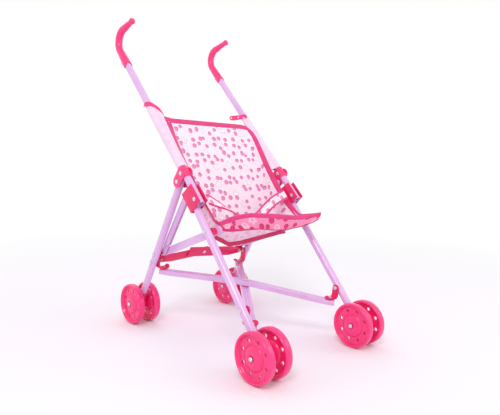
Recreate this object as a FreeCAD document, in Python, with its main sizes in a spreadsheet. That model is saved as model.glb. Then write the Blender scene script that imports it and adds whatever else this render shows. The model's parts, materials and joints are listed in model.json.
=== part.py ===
import FreeCAD, Part
import math
import os
import Sketcher

# Folding doll stroller, millimetres. +Z up, the floor is z = 0, the stroller faces -Y.
# Left is -X and right is +X, as seen from the front. The origin is midway between the
# axles, on the centre plane, at floor level.

SIZES = {
    # wheels
    "wheel_diameter": 73,
    "wheel_tread": 9,
    "wheel_width": 13.5,
    "wheel_rim": 4.1,
    "wheel_rim_slope": 2.2,
    "wheel_web": 2.4,
    "wheel_hub_face": 18,
    "wheel_hub_foot": 37.6,
    "wheel_hole": 5.8,
    "wheel_hole_circle": 48.6,
    "wheel_holes": 8,
    "wheelbase": 334,
    "track": 220,
    "wheel_spread": 32,
    "axle_diameter": 4,
    "axle_cap": 8,
    "running_gap": 0.05,
    "side_gap": 0.5,
    # tubes
    "tube_diameter": 12.5,
    "tube_wall": 0.8,
    "front_leg_angle": 50.3,
    "front_leg_length": 257,
    "handle_angle": 46,
    "handle_stub": 11,
    "handle_to_grip": 325.7,
    "elbow_gap": 0.5,
    "elbow_overlap": 2,
    # feet
    "foot_hub": 20,
    "foot_socket": 17,
    "foot_length": 27,
    "foot_tube_stop": 8,
    "press_gap": 0.02,
    # grip
    "grip_mouth": 16,
    "grip_bend": 13.8,
    "grip_tip": 9.6,
    "grip_ball": 12,
    "grip_cover": 32,
    "grip_straight": 41.5,
    "grip_radius": 23.5,
    "grip_turn_angle": 120,
    "grip_reach": 34.5,
    # elbow channel
    "elbow_slack": 0.15,
    "elbow_wall": 1.6,
    "elbow_rise": 8.7,
    "elbow_front": 24,
    "elbow_front_low": 28,
    "floor_rivet_back": 5,
    # clamp on the handle tube
    "clamp_at": 54,
    "clamp_width": 20,
    "clamp_wall": 2,
    "ear_gap": 0.35,
    "pivot_back": 2.5,
    "pivot_drop": 17.3,
    "strut_pin_at": 39.8,
    "strut_pin_drop": 10.7,
    "strut_ear": 15,
    # clip for the seat
    "clip_at": 219.4,
    "clip_width": 9,
    "clip_wall": 1.8,
    "clip_length": 28,
    "clip_gap": 2.2,
    # seat rail and strut
    "rail_on_leg": 202.3,
    "rail_slope_angle": 20.4,
    "rail_span": 152,
    "rail_thickness": 6,
    "rail_height": 12,
    "rail_front_end": 17,
    "rail_rear_end": 8,
    "rail_spacer": 8,
    "strut_flat": 2.4,
    "strut_flat_length": 21,
    "strut_spacer": 1.5,
    "strut_tube_inset": 0.5,
    # rivets
    "rivet_diameter": 4,
    "rivet_head": 7,
    "rivet_head_height": 1.2,
    "rivet_gap": 0.3,
    "rivet_tail": 1.2,
    # rear leg hardware
    "lug_on_rear_leg": 150.5,
    "hook_on_rear_leg": 168.9,
    "lever_on_rear_leg": 170.5,
    "leg_overrun": 6.5,
    "lug_wall": 1.6,
    "lug_arm_wall": 2,
    "lug_arm_height": 16,
    "lug_arm_reach": 27,
    "lug_clearance": 0.35,
    "lever_inset": 18,
    "lever_wall": 2,
    "lever_gap": 0.4,
    "lever_rise": 9,
    "lever_small": 11,
    "lever_large": 18,
    "lever_channel": 21,
    "lever_shoulder": 23,
    "lever_lap": 37,
    # hooks and cross bars
    "hook_on_front_leg": 68.5,
    "hook_wall": 3,
    "hook_width": 12,
    "hook_flange": 2.2,
    "hook_finger": 6,
    "hook_reach": 24,
    "front_bar_back": 3.2,
    "front_bar_drop": 26.5,
    "rear_bar_back": 1,
    "rear_bar_drop": 24,
    "front_bar_inset": 22,
    "rear_bar_inset": 19,
    "bar_width": 14,
    "bar_thickness": 8,
    "bar_bow": 7,
    "bar_flat": 12,
    "bar_front_overrun": 9,
    "bar_rear_overrun": 5,
    "bar_gap": 1.6,
    "bar_flange_gap": 0.35,
    "bar_open_gap": 2,
    "bar_groove": 1.4,
    "bar_groove_depth": 0.8,
    "bar_groove_at": 2.3,
    # fabric
    "cloth": 1.6,
    "cloth_gap": 0.35,
    "sleeve_from": 66,
    "sleeve_to": 213,
    "gusset_inset": 24,
    "seat_inset": 26,
    "back_top_y": 100,
    "back_top_z": 374,
    "fold_y": 6,
    "fold_z": 173,
    "front_edge_y": -72,
    "front_edge_z": 213,
    "valance_drop": 26,
    "hem_y": 0,
    "hem_z": 168,
    "tip_y": -42,
    "tip_z": 208,
    "belt_y": -14,
    "belt_side_z": 234,
    "belt_middle_z": 214,
    "belt_width": 18,
}

doc = FreeCAD.newDocument("DollStroller")
sheet = doc.addObject("Spreadsheet::Sheet", "sizes")
for row, (alias, number) in enumerate(SIZES.items(), start=1):
    sheet.set(f"A{row}", alias)
    sheet.set(f"B{row}", str(number))
    sheet.setAlias(f"B{row}", alias)
doc.recompute()


class Size:
    """A length or a plain number, with the sheet expression that gives it."""

    def __init__(self, number, text):
        self.number = number
        self.text = text

    def __float__(self):
        return float(self.number)

    def __add__(self, other):
        return combine(self, "+", other)

    def __radd__(self, other):
        return combine(other, "+", self)

    def __sub__(self, other):
        return combine(self, "-", other)

    def __rsub__(self, other):
        return combine(other, "-", self)

    def __mul__(self, other):
        return combine(self, "*", other)

    def __rmul__(self, other):
        return combine(other, "*", self)

    def __truediv__(self, other):
        return combine(self, "/", other)

    def __neg__(self):
        return combine(0, "-", self)


def as_size(thing):
    return thing if isinstance(thing, Size) else Size(thing, repr(thing))


def combine(first, sign, second):
    a = as_size(first)
    b = as_size(second)
    number = {
        "+": lambda: a.number + b.number,
        "-": lambda: a.number - b.number,
        "*": lambda: a.number * b.number,
        "/": lambda: a.number / b.number,
    }[sign]()
    return Size(number, f"({a.text} {sign} {b.text})")


def size(alias):
    return Size(float(sheet.get(alias)), f"sizes.{alias}")


def root(square):
    return Size(math.sqrt(square.number), f"sqrt({square.text})")


def cosine(angle):
    return Size(math.cos(math.radians(angle.number)), f"cos({angle.text})")


def sine(angle):
    return Size(math.sin(math.radians(angle.number)), f"sin({angle.text})")


def bind(thing, **properties):
    for name, length in properties.items():
        thing.setExpression(name, as_size(length).text)


# ---- directions and points of the side view, as (y, z) pairs ----


def heading(angle):
    return cosine(angle), sine(angle)


def step(point, direction, along, aside=0):
    """The point that lies `along` a direction and `aside` to the left of it."""
    y = point[0] + direction[0] * along - direction[1] * aside
    z = point[1] + direction[1] * along + direction[0] * aside
    return y, z


def between(start, end):
    """The direction from one point to another, and how far it is."""
    run = end[0] - start[0]
    rise = end[1] - start[1]
    far = root(run * run + rise * rise)
    return (run / far, rise / far), far


def degrees(direction):
    return math.degrees(math.atan2(float(direction[1]), float(direction[0])))


LEFT = -1
RIGHT = 1
SIDE_NAMES = {LEFT: "left", RIGHT: "right"}

LEG_X = size("track") / 2
TUBE_RADIUS = size("tube_diameter") / 2
PIN_RADIUS = size("rivet_diameter") / 2
HEAD_RADIUS = size("rivet_head") / 2
HEAD_HEIGHT = size("rivet_head_height")

LEG_UP = heading(size("front_leg_angle"))
HANDLE_UP = heading(size("handle_angle"))
RAIL_BACK = heading(-size("rail_slope_angle"))

FRONT_AXLE = (-size("wheelbase") / 2, size("wheel_diameter") / 2)
REAR_AXLE = (size("wheelbase") / 2, size("wheel_diameter") / 2)
LEG_TOP = step(FRONT_AXLE, LEG_UP, size("front_leg_length"))
ELBOW = step(LEG_TOP, HANDLE_UP, -size("elbow_overlap"), size("tube_diameter") + size("elbow_gap"))
CLAMP_PIN = step(ELBOW, HANDLE_UP, size("clamp_at"))
LEG_PIVOT = step(CLAMP_PIN, HANDLE_UP, -size("pivot_back"), -size("pivot_drop"))
STRUT_TOP = step(ELBOW, HANDLE_UP, size("strut_pin_at"), -size("strut_pin_drop"))
RAIL_FRONT = step(FRONT_AXLE, LEG_UP, size("rail_on_leg"))
RAIL_REAR = step(RAIL_FRONT, RAIL_BACK, size("rail_span"))
GRIP_MOUTH = step(ELBOW, HANDLE_UP, size("handle_to_grip"))
CLIP = step(ELBOW, HANDLE_UP, size("clip_at"))

REAR_DOWN, REAR_LENGTH = between(LEG_PIVOT, REAR_AXLE)
LUG_PIN = step(LEG_PIVOT, REAR_DOWN, size("lug_on_rear_leg"))
REAR_HOOK_PIN = step(LEG_PIVOT, REAR_DOWN, size("hook_on_rear_leg"))
LEVER_PIN = step(LEG_PIVOT, REAR_DOWN, size("lever_on_rear_leg"))
FRONT_HOOK_PIN = step(FRONT_AXLE, LEG_UP, size("hook_on_front_leg"))

# the mid-plane of the two cross bars runs through these two points
FRONT_BAR = (FRONT_HOOK_PIN[0] + size("front_bar_back"), FRONT_HOOK_PIN[1] - size("front_bar_drop"))
REAR_BAR = (REAR_HOOK_PIN[0] + size("rear_bar_back"), REAR_HOOK_PIN[1] - size("rear_bar_drop"))
BAR_PLANE, BAR_REACH = between(FRONT_BAR, REAR_BAR)
FRONT_BAR_X = LEG_X - size("front_bar_inset")
REAR_BAR_X = LEG_X - size("rear_bar_inset")

# faces of the pieces beside a leg, as distances from the centre plane
EAR_INSIDE = LEG_X - TUBE_RADIUS - size("ear_gap")
RAIL_OUTSIDE = LEG_X - TUBE_RADIUS - size("rail_spacer")
RAIL_INSIDE = RAIL_OUTSIDE - size("rail_thickness")
FLAT_INSIDE = RAIL_OUTSIDE + size("strut_spacer")
FLAT_OUTSIDE = FLAT_INSIDE + size("strut_flat")
ELBOW_SIDE = TUBE_RADIUS + size("elbow_slack")

ACROSS = FreeCAD.Vector(1, 0, 0)
made = []


def spot(x, point):
    return FreeCAD.Vector(float(x), float(point[0]), float(point[1]))


def arrow(direction):
    return FreeCAD.Vector(0, float(direction[0]), float(direction[1]))


def side_view(x, point, direction):
    """A placement whose local x runs along a direction of the side view and local z is +X."""
    along = arrow(direction)
    turn = FreeCAD.Rotation(along, ACROSS.cross(along), ACROSS, "ZXY")
    return FreeCAD.Placement(spot(x, point), turn)


def publish(name, thing):
    thing.Label = name
    made.append(thing)
    return thing


def new(kind, name, placement=None, **lengths):
    thing = doc.addObject(kind, name)
    bind(thing, **lengths)
    if placement is not None:
        thing.Placement = placement
    return thing


def rod(name, radius, length, start, direction):
    turn = FreeCAD.Rotation(FreeCAD.Vector(0, 0, 1), direction)
    return new("Part::Cylinder", name, FreeCAD.Placement(start, turn), Radius=radius, Height=length)


def cross_pin(name, radius, near, far, point, side):
    """A rod along X between two distances from the centre plane."""
    start = min(side * float(near), side * float(far))
    return rod(name, radius, far - near, spot(start, point), ACROSS)


def joined(name, pieces):
    whole = doc.addObject("Part::MultiFuse", name)
    whole.Shapes = pieces
    return whole


def grouped(name, pieces):
    group = doc.addObject("Part::Compound", name)
    group.Links = pieces
    return group


def cut(name, base, tools):
    result = doc.addObject("Part::Cut", name)
    result.Base = base
    result.Tool = tools[0] if len(tools) == 1 else joined(f"{name}_tools", tools)
    return result


def rivet(name, start, direction, grip_length, radius=PIN_RADIUS, head=HEAD_RADIUS):
    """A shank with a flat round head at each end, just outside the stretch it grips."""
    back = FreeCAD.Vector(direction).multiply(-float(HEAD_HEIGHT))
    ahead = FreeCAD.Vector(direction).multiply(float(grip_length))
    return joined(name, [
        rod(f"{name}_shank", radius, grip_length, start, direction),
        rod(f"{name}_head", head, HEAD_HEIGHT, start + back, direction),
        rod(f"{name}_tail", head, HEAD_HEIGHT, start + ahead, direction),
    ])


def cross_rivet(name, near, far, point, side, **shape):
    start = min(side * float(near), side * float(far))
    return rivet(name, spot(start, point), ACROSS, far - near, **shape)


# ---- sketches ----


def body(name, placement):
    thing = doc.addObject("PartDesign::Body", name)
    thing.Placement = placement
    return thing


def sketch_on(owner, plane, name, lift=0):
    sketch = owner.newObject("Sketcher::SketchObject", name)
    face = [f for f in owner.Origin.OriginFeatures if f.Role == plane][0]
    sketch.AttachmentSupport = (face, [""])
    sketch.MapMode = "FlatFace"
    sketch.AttachmentOffset = FreeCAD.Placement(FreeCAD.Vector(0, 0, float(lift)), FreeCAD.Rotation())
    return sketch


def pin_point(sketch, curve, end, x, y):
    """Holds one point of a curve at its place from the sketch's origin."""
    for kind, value in (("DistanceX", x), ("DistanceY", y)):
        index = sketch.addConstraint(Sketcher.Constraint(kind, -1, 1, curve, end, float(value)))
        sketch.setExpression(f"Constraints[{index}]", as_size(value).text)


def polygon(sketch, corners):
    points = [FreeCAD.Vector(float(x), float(y), 0) for x, y in corners]
    first = None
    count = len(points)
    for k in range(count):
        line = Part.LineSegment(points[k], points[(k + 1) % count])
        curve = sketch.addGeometry(line, False)
        first = curve if first is None else first
    for k in range(count):
        joint = Sketcher.Constraint("Coincident", first + k, 2, first + (k + 1) % count, 1)
        sketch.addConstraint(joint)
    for k, (x, y) in enumerate(corners):
        pin_point(sketch, first + k, 1, x, y)


def circle(sketch, x, y, radius):
    centre = FreeCAD.Vector(float(x), float(y), 0)
    curve = sketch.addGeometry(Part.Circle(centre, FreeCAD.Vector(0, 0, 1), float(radius)), False)
    pin_point(sketch, curve, 3, x, y)
    index = sketch.addConstraint(Sketcher.Constraint("Radius", curve, float(radius)))
    sketch.setExpression(f"Constraints[{index}]", as_size(radius).text)


def pad(owner, name, sketch, length):
    feature = owner.newObject("PartDesign::Pad", name)
    feature.Profile = sketch
    bind(feature, Length=length)
    sketch.Visibility = False
    return feature


def plate(name, side, near, far, point, direction, outline):
    """A flat piece of the side view, between two distances from the centre plane."""
    start = min(side * float(near), side * float(far))
    owner = body(name, side_view(start, point, direction))
    sketch = sketch_on(owner, "XY_Plane", f"{name}_outline")
    outline(sketch)
    pad(owner, f"{name}_pad", sketch, far - near)
    return owner


def corners_of(*corners):
    return lambda sketch: polygon(sketch, corners)


def slot(name, side, near, far, start, end, radius):
    """A flat bar with round ends, centred on two points of the side view."""
    direction, length = between(start, end)
    bar = plate(f"{name}_bar", side, near, far, start, direction, corners_of(
        (0, -radius), (length, -radius), (length, radius), (0, radius)))
    return [
        bar,
        cross_pin(f"{name}_start", radius, near, far, start, side),
        cross_pin(f"{name}_end", radius, near, far, end, side),
    ]


# ---- tubes, feet and wheels ----


def tube(name, start, direction, length, x, holes):
    """A round tube with its bore and any rivet holes."""
    at = spot(x, start)
    outer = rod(f"{name}_outer", TUBE_RADIUS, length, at, arrow(direction))
    bore = rod(f"{name}_bore", TUBE_RADIUS - size("tube_wall"), length, at, arrow(direction))
    return publish(name, cut(name, outer, [bore] + holes))


def hole_across(name, point, side, radius=PIN_RADIUS):
    """A drill along X from the centre plane out through everything on one side."""
    return cross_pin(name, radius, as_size(0), size("track"), point, side)


def foot(name, side, axle, up):
    """The block between two wheel discs, with a socket for the leg."""
    half = size("wheel_spread") / 2 - size("wheel_width") / 2 - size("side_gap")
    x = side * LEG_X
    hub = cross_pin(f"{name}_hub", size("foot_hub") / 2, LEG_X - half, LEG_X + half, axle, side)
    socket_start = spot(x, axle)
    socket = rod(f"{name}_socket", size("foot_socket") / 2, size("foot_length"), socket_start, arrow(up))
    stop = step(axle, up, size("foot_tube_stop"))
    seat = rod(f"{name}_seat", TUBE_RADIUS + size("press_gap"), size("foot_length"),
               spot(x, stop), arrow(up))
    bore = hole_across(f"{name}_axle_hole", axle, side, size("axle_diameter") / 2)
    return publish(name, cut(name, joined(f"{name}_solid", [hub, socket]), [seat, bore]))


def axle(name, side, point):
    reach = size("wheel_spread") / 2 + size("wheel_width") / 2 + size("side_gap")
    pin = cross_rivet(name, LEG_X - reach, LEG_X + reach, point, side,
                      radius=size("axle_diameter") / 2, head=size("axle_cap") / 2)
    return publish(name, pin)


def wheel(name, x, point):
    """A moulded disc: a thin web with round holes between a coned hub and a flat tread."""
    outer = size("wheel_diameter") / 2
    half = size("wheel_width") / 2
    tread = size("wheel_tread") / 2
    web = size("wheel_web") / 2
    rim = outer - size("wheel_rim")
    rim_foot = rim - size("wheel_rim_slope")
    hub = size("wheel_hub_face") / 2
    hub_foot = size("wheel_hub_foot") / 2
    bore = size("axle_diameter") / 2 + size("running_gap")
    turn = FreeCAD.Rotation(FreeCAD.Vector(0, 1, 0), 90)
    owner = body(name, FreeCAD.Placement(spot(x, point), turn))
    profile = sketch_on(owner, "XZ_Plane", f"{name}_profile")
    polygon(profile, [
        (bore, -half), (hub, -half), (hub_foot, -web), (rim_foot, -web), (rim, -half), (outer, -tread),
        (outer, tread), (rim, half), (rim_foot, web), (hub_foot, web), (hub, half), (bore, half),
    ])
    disc = owner.newObject("PartDesign::Revolution", f"{name}_disc")
    disc.Profile = profile
    disc.ReferenceAxis = (profile, ["V_Axis"])
    disc.Angle = 360
    doc.recompute()
    marks = sketch_on(owner, "XY_Plane", f"{name}_mark")
    circle(marks, size("wheel_hole_circle") / 2, 0, size("wheel_hole") / 2)
    hole = owner.newObject("PartDesign::Pocket", f"{name}_hole")
    hole.Profile = marks
    hole.Type = "ThroughAll"
    hole.Midplane = True
    doc.recompute()
    ring = owner.newObject("PartDesign::PolarPattern", f"{name}_holes")
    ring.Originals = [hole]
    ring.Axis = (marks, ["N_Axis"])
    ring.Angle = 360
    bind(ring, Occurrences=size("wheel_holes"))
    owner.Tip = ring
    return publish(name, owner)


# ---- side frame ----


def front_leg(side):
    label = SIDE_NAMES[side]
    start = step(FRONT_AXLE, LEG_UP, size("foot_tube_stop"))
    holes = [
        hole_across(f"front_leg_{label}_rail_hole", RAIL_FRONT, side),
        hole_across(f"front_leg_{label}_hook_hole", FRONT_HOOK_PIN, side),
        floor_pin(f"front_leg_{label}_floor_hole", side, PIN_RADIUS),
    ]
    length = size("front_leg_length") - size("foot_tube_stop")
    return tube(f"front_leg_{label}", start, LEG_UP, length, side * LEG_X, holes)


def elbow_floor():
    """How far the inner face of the channel's floor lies below the handle tube's axis."""
    lean = sine(size("handle_angle") - size("front_leg_angle"))
    across = size("tube_diameter") + size("elbow_gap") + TUBE_RADIUS
    return across - lean * (size("handle_stub") + size("elbow_overlap")) + size("elbow_slack")


def floor_point():
    return step(ELBOW, HANDLE_UP, -size("floor_rivet_back"), -elbow_floor() - size("elbow_wall"))


def floor_pin(name, side, radius):
    """The shank that holds the leg's top against the floor of the channel."""
    inward = arrow((-HANDLE_UP[1], HANDLE_UP[0]))
    length = size("elbow_wall") + size("tube_wall") + size("rivet_tail")
    return rod(name, radius, length, spot(side * LEG_X, floor_point()), inward)


def floor_rivet(name, side):
    outward = arrow((HANDLE_UP[1], -HANDLE_UP[0]))
    head = rod(f"{name}_head", HEAD_RADIUS, HEAD_HEIGHT, spot(side * LEG_X, floor_point()), outward)
    return joined(name, [floor_pin(f"{name}_shank", side, PIN_RADIUS), head])


def handle_tube(side):
    label = SIDE_NAMES[side]
    start = step(ELBOW, HANDLE_UP, -size("handle_stub"))
    holes = [
        hole_across(f"handle_tube_{label}_elbow_hole", ELBOW, side),
        hole_across(f"handle_tube_{label}_clamp_hole", CLAMP_PIN, side),
    ]
    length = size("handle_stub") + size("handle_to_grip") + size("grip_cover")
    return tube(f"handle_tube_{label}", start, HANDLE_UP, length, side * LEG_X, holes)


def elbow_channel(side):
    """A U channel, open to the front: the handle tube lies in it, the leg's top below."""
    name = f"elbow_channel_{SIDE_NAMES[side]}"
    floor = elbow_floor()
    low = floor + size("elbow_wall")
    half = ELBOW_SIDE + size("elbow_wall")
    block = plate(f"{name}_block", side, LEG_X - half, LEG_X + half, ELBOW, HANDLE_UP, corners_of(
        (-size("handle_stub"), size("elbow_rise")), (-size("handle_stub"), -low),
        (size("elbow_front_low"), -low), (size("elbow_front"), size("elbow_rise"))))
    beyond = size("tube_diameter")
    slot_back = -size("handle_stub") - beyond
    slot_front = size("elbow_front_low") + beyond
    inside = plate(f"{name}_inside", side, LEG_X - ELBOW_SIDE, LEG_X + ELBOW_SIDE,
                   ELBOW, HANDLE_UP, corners_of(
                       (slot_back, size("elbow_rise") + beyond), (slot_back, -floor),
                       (slot_front, -floor), (slot_front, size("elbow_rise") + beyond)))
    holes = [
        hole_across(f"{name}_pin_hole", ELBOW, side),
        floor_pin(f"{name}_floor_hole", side, PIN_RADIUS),
    ]
    return publish(name, cut(name, block, [inside] + holes))


def leg_clamp(side):
    """A band round the handle tube with two ears that carry the rear leg and the strut."""
    name = f"leg_clamp_{SIDE_NAMES[side]}"
    ear = size("clamp_width") / 2
    inner = EAR_INSIDE - size("clamp_wall")
    outer_near = LEG_X + TUBE_RADIUS + size("ear_gap")
    outer_far = outer_near + size("clamp_wall")
    band = rod(f"{name}_band", TUBE_RADIUS + size("ear_gap") + size("clamp_wall"), size("clamp_width"),
               spot(side * LEG_X, step(CLAMP_PIN, HANDLE_UP, -ear)), arrow(HANDLE_UP))
    outer_ear = slot(f"{name}_outer_ear", side, outer_near, outer_far, CLAMP_PIN, LEG_PIVOT, ear)
    inner_ear = slot(f"{name}_inner_ear", side, inner, EAR_INSIDE, CLAMP_PIN, LEG_PIVOT, ear)
    lobe = slot(f"{name}_lobe", side, inner, EAR_INSIDE, LEG_PIVOT, STRUT_TOP, size("strut_ear") / 2)
    solid = joined(f"{name}_solid", [band] + outer_ear + inner_ear + lobe)
    room = rod(f"{name}_room", TUBE_RADIUS + size("press_gap"), size("clamp_width"),
               spot(side * LEG_X, step(CLAMP_PIN, HANDLE_UP, -ear)), arrow(HANDLE_UP))
    holes = [hole_across(f"{name}_pin_hole", CLAMP_PIN, side),
             hole_across(f"{name}_pivot_hole", LEG_PIVOT, side),
             hole_across(f"{name}_strut_hole", STRUT_TOP, side)]
    return publish(name, cut(name, solid, [room] + holes))


def seat_clip(side):
    """A strap bent round the handle tube; its two ends meet inside and hold the seat."""
    name = f"seat_clip_{SIDE_NAMES[side]}"
    half = size("clip_width") / 2
    outer = TUBE_RADIUS + size("clip_wall") + size("press_gap")
    start = spot(side * LEG_X, step(CLIP, HANDLE_UP, -half))
    ring = rod(f"{name}_ring", outer, size("clip_width"), start, arrow(HANDLE_UP))
    room = rod(f"{name}_room", TUBE_RADIUS + size("press_gap"), size("clip_width"), start, arrow(HANDLE_UP))
    leaf = size("clip_wall") + size("clip_gap") / 2
    tail = plate(f"{name}_tail", side, LEG_X - size("clip_length"), LEG_X, CLIP, HANDLE_UP, corners_of(
        (-half, -leaf), (half, -leaf), (half, leaf), (-half, leaf)))
    gap = size("clip_gap") / 2
    slit = plate(f"{name}_slit", side, as_size(0), LEG_X, CLIP, HANDLE_UP, corners_of(
        (-half, -gap), (half, -gap), (half, gap), (-half, gap)))
    solid = joined(f"{name}_solid", [ring, tail])
    pins = [clip_pin(f"{name}_hole_{k}", side, inset) for k, inset in enumerate(clip_insets())]
    return publish(name, cut(name, solid, [room, slit] + pins))


def clip_insets():
    """Distances of the clip's two rivets from the tube's axis, toward the centre plane."""
    beside = TUBE_RADIUS + size("clip_wall") + HEAD_RADIUS
    return beside, size("clip_length") - HEAD_RADIUS


def clip_pin(name, side, inset):
    leaf = size("clip_wall") + size("clip_gap") / 2
    start = spot(side * (LEG_X - inset), step(CLIP, HANDLE_UP, 0, -leaf))
    return rod(name, PIN_RADIUS, leaf * 2, start, arrow((-HANDLE_UP[1], HANDLE_UP[0])))


def clip_rivet(name, side, inset):
    leaf = size("clip_wall") + size("clip_gap") / 2
    start = spot(side * (LEG_X - inset), step(CLIP, HANDLE_UP, 0, -leaf))
    return rivet(name, start, arrow((-HANDLE_UP[1], HANDLE_UP[0])), leaf * 2)


def handle_grip(side):
    """A moulded grip: a tapered sleeve, a bend and a tapered nose with a ball end."""
    name = f"handle_grip_{SIDE_NAMES[side]}"
    x = side * LEG_X
    bend = size("grip_bend") / 2
    straight = size("grip_straight")
    bend_start = step(GRIP_MOUTH, HANDLE_UP, straight)
    centre = step(bend_start, HANDLE_UP, 0, size("grip_radius"))
    nose = heading(size("handle_angle") + size("grip_turn_angle"))
    nose_start = step(centre, nose, 0, -size("grip_radius"))
    tip = step(nose_start, nose, size("grip_reach"))
    upward = FreeCAD.Rotation(FreeCAD.Vector(0, 0, 1), arrow(HANDLE_UP))
    onward = FreeCAD.Rotation(FreeCAD.Vector(0, 0, 1), arrow(nose))
    sleeve = new("Part::Cone", f"{name}_sleeve", FreeCAD.Placement(spot(x, GRIP_MOUTH), upward),
                 Radius1=size("grip_mouth") / 2, Radius2=bend, Height=straight)
    turn = side_view(x, centre, HANDLE_UP)
    quarter = FreeCAD.Placement(FreeCAD.Vector(), FreeCAD.Rotation(FreeCAD.Vector(0, 0, 1), -90))
    arc = new("Part::Torus", f"{name}_arc", turn.multiply(quarter),
              Radius1=size("grip_radius"), Radius2=bend, Angle3=size("grip_turn_angle"))
    taper = new("Part::Cone", f"{name}_nose", FreeCAD.Placement(spot(x, nose_start), onward),
                Radius1=bend, Radius2=size("grip_tip") / 2, Height=size("grip_reach"))
    ball = new("Part::Sphere", f"{name}_ball", FreeCAD.Placement(spot(x, tip), onward),
               Radius=size("grip_ball") / 2)
    solid = joined(f"{name}_solid", [sleeve, arc, taper, ball])
    bore = rod(f"{name}_bore", TUBE_RADIUS + size("press_gap"), size("grip_cover"),
               spot(x, GRIP_MOUTH), arrow(HANDLE_UP))
    return publish(name, cut(name, solid, [bore]))


def seat_rail(side):
    name = f"seat_rail_{SIDE_NAMES[side]}"
    half = size("rail_height") / 2
    front = step(RAIL_FRONT, RAIL_BACK, half - size("rail_front_end"))
    rear = step(RAIL_REAR, RAIL_BACK, size("rail_rear_end") - half)
    solid = joined(f"{name}_solid", slot(name, side, RAIL_INSIDE, RAIL_OUTSIDE, front, rear, half))
    holes = [hole_across(f"{name}_front_hole", RAIL_FRONT, side),
             hole_across(f"{name}_rear_hole", RAIL_REAR, side)]
    return publish(name, cut(f"{name}_cut", solid, holes))


def seat_strut(side):
    """A round tube whose ends are pressed flat and drilled."""
    name = f"seat_strut_{SIDE_NAMES[side]}"
    up, length = between(RAIL_REAR, STRUT_TOP)
    flat = size("strut_flat_length")
    centre = LEG_X - TUBE_RADIUS * 2 - size("strut_tube_inset")
    middle = rod(f"{name}_tube", TUBE_RADIUS, length - flat * 2,
                 spot(side * centre, step(RAIL_REAR, up, flat)), arrow(up))
    strip = slot(f"{name}_flat", side, FLAT_INSIDE, FLAT_OUTSIDE, RAIL_REAR, STRUT_TOP, TUBE_RADIUS)
    holes = [hole_across(f"{name}_low_hole", RAIL_REAR, side),
             hole_across(f"{name}_top_hole", STRUT_TOP, side)]
    return publish(name, cut(f"{name}_cut", joined(f"{name}_solid", [middle] + strip), holes))


def ring(name, side, near, far, point, radius):
    outer = cross_pin(f"{name}_outer", radius, near, far, point, side)
    bore = cross_pin(f"{name}_bore", PIN_RADIUS, near, far, point, side)
    return cut(name, outer, [bore])


def rail_spacers(side):
    """Plastic spacers: rail to leg, rail to strut, strut to clamp."""
    name = f"rail_spacers_{SIDE_NAMES[side]}"
    radius = size("rail_height") / 2
    inner_ear = EAR_INSIDE - size("clamp_wall")
    return publish(name, grouped(name, [
        ring(f"{name}_front", side, RAIL_OUTSIDE, LEG_X - TUBE_RADIUS, RAIL_FRONT, radius),
        ring(f"{name}_rear", side, RAIL_OUTSIDE, FLAT_INSIDE, RAIL_REAR, radius),
        ring(f"{name}_top", side, FLAT_OUTSIDE, inner_ear, STRUT_TOP, radius),
    ]))


def frame_rivets(side):
    name = f"frame_rivets_{SIDE_NAMES[side]}"
    leg_outside = LEG_X + TUBE_RADIUS
    ear_outside = leg_outside + size("ear_gap") + size("clamp_wall")
    inner_ear = EAR_INSIDE - size("clamp_wall")
    wall = ELBOW_SIDE + size("elbow_wall")
    hook_inside = LEG_X - TUBE_RADIUS - size("rivet_gap") - size("hook_wall") - size("rivet_gap")
    pieces = [
        cross_rivet(f"{name}_elbow", LEG_X - wall, LEG_X + wall, ELBOW, side),
        cross_rivet(f"{name}_clamp", inner_ear, ear_outside, CLAMP_PIN, side),
        cross_rivet(f"{name}_pivot", inner_ear, ear_outside, LEG_PIVOT, side),
        cross_rivet(f"{name}_strut", FLAT_INSIDE, EAR_INSIDE, STRUT_TOP, side),
        cross_rivet(f"{name}_rail", RAIL_INSIDE, leg_outside, RAIL_FRONT, side),
        cross_rivet(f"{name}_rear", RAIL_INSIDE, FLAT_OUTSIDE, RAIL_REAR, side),
        cross_rivet(f"{name}_hook", hook_inside, leg_outside, FRONT_HOOK_PIN, side),
        floor_rivet(f"{name}_floor", side),
    ]
    for k, inset in enumerate(clip_insets()):
        pieces.append(clip_rivet(f"{name}_clip_{k}", side, inset))
    return publish(name, grouped(name, pieces))


# ---- rear leg with the lug of the lock bar ----


def rear_leg(side):
    label = SIDE_NAMES[side]
    start = step(LEG_PIVOT, REAR_DOWN, -size("leg_overrun"))
    length = REAR_LENGTH + size("leg_overrun") - size("foot_tube_stop")
    holes = [
        hole_across(f"rear_leg_{label}_pivot_hole", LEG_PIVOT, side, PIN_RADIUS + size("running_gap")),
        hole_across(f"rear_leg_{label}_lug_hole", LUG_PIN, side),
        hole_across(f"rear_leg_{label}_hook_hole", REAR_HOOK_PIN, side),
    ]
    return tube(f"rear_leg_{label}", start, REAR_DOWN, length, side * LEG_X, holes)


LUG_PLATE_FAR = LEG_X - TUBE_RADIUS - size("lug_clearance")
LUG_PLATE_NEAR = LUG_PLATE_FAR - size("lug_wall")
LUG_ARM_AT = TUBE_RADIUS + size("lug_clearance")
LEVER_X = LEG_X - size("lever_inset")


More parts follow.
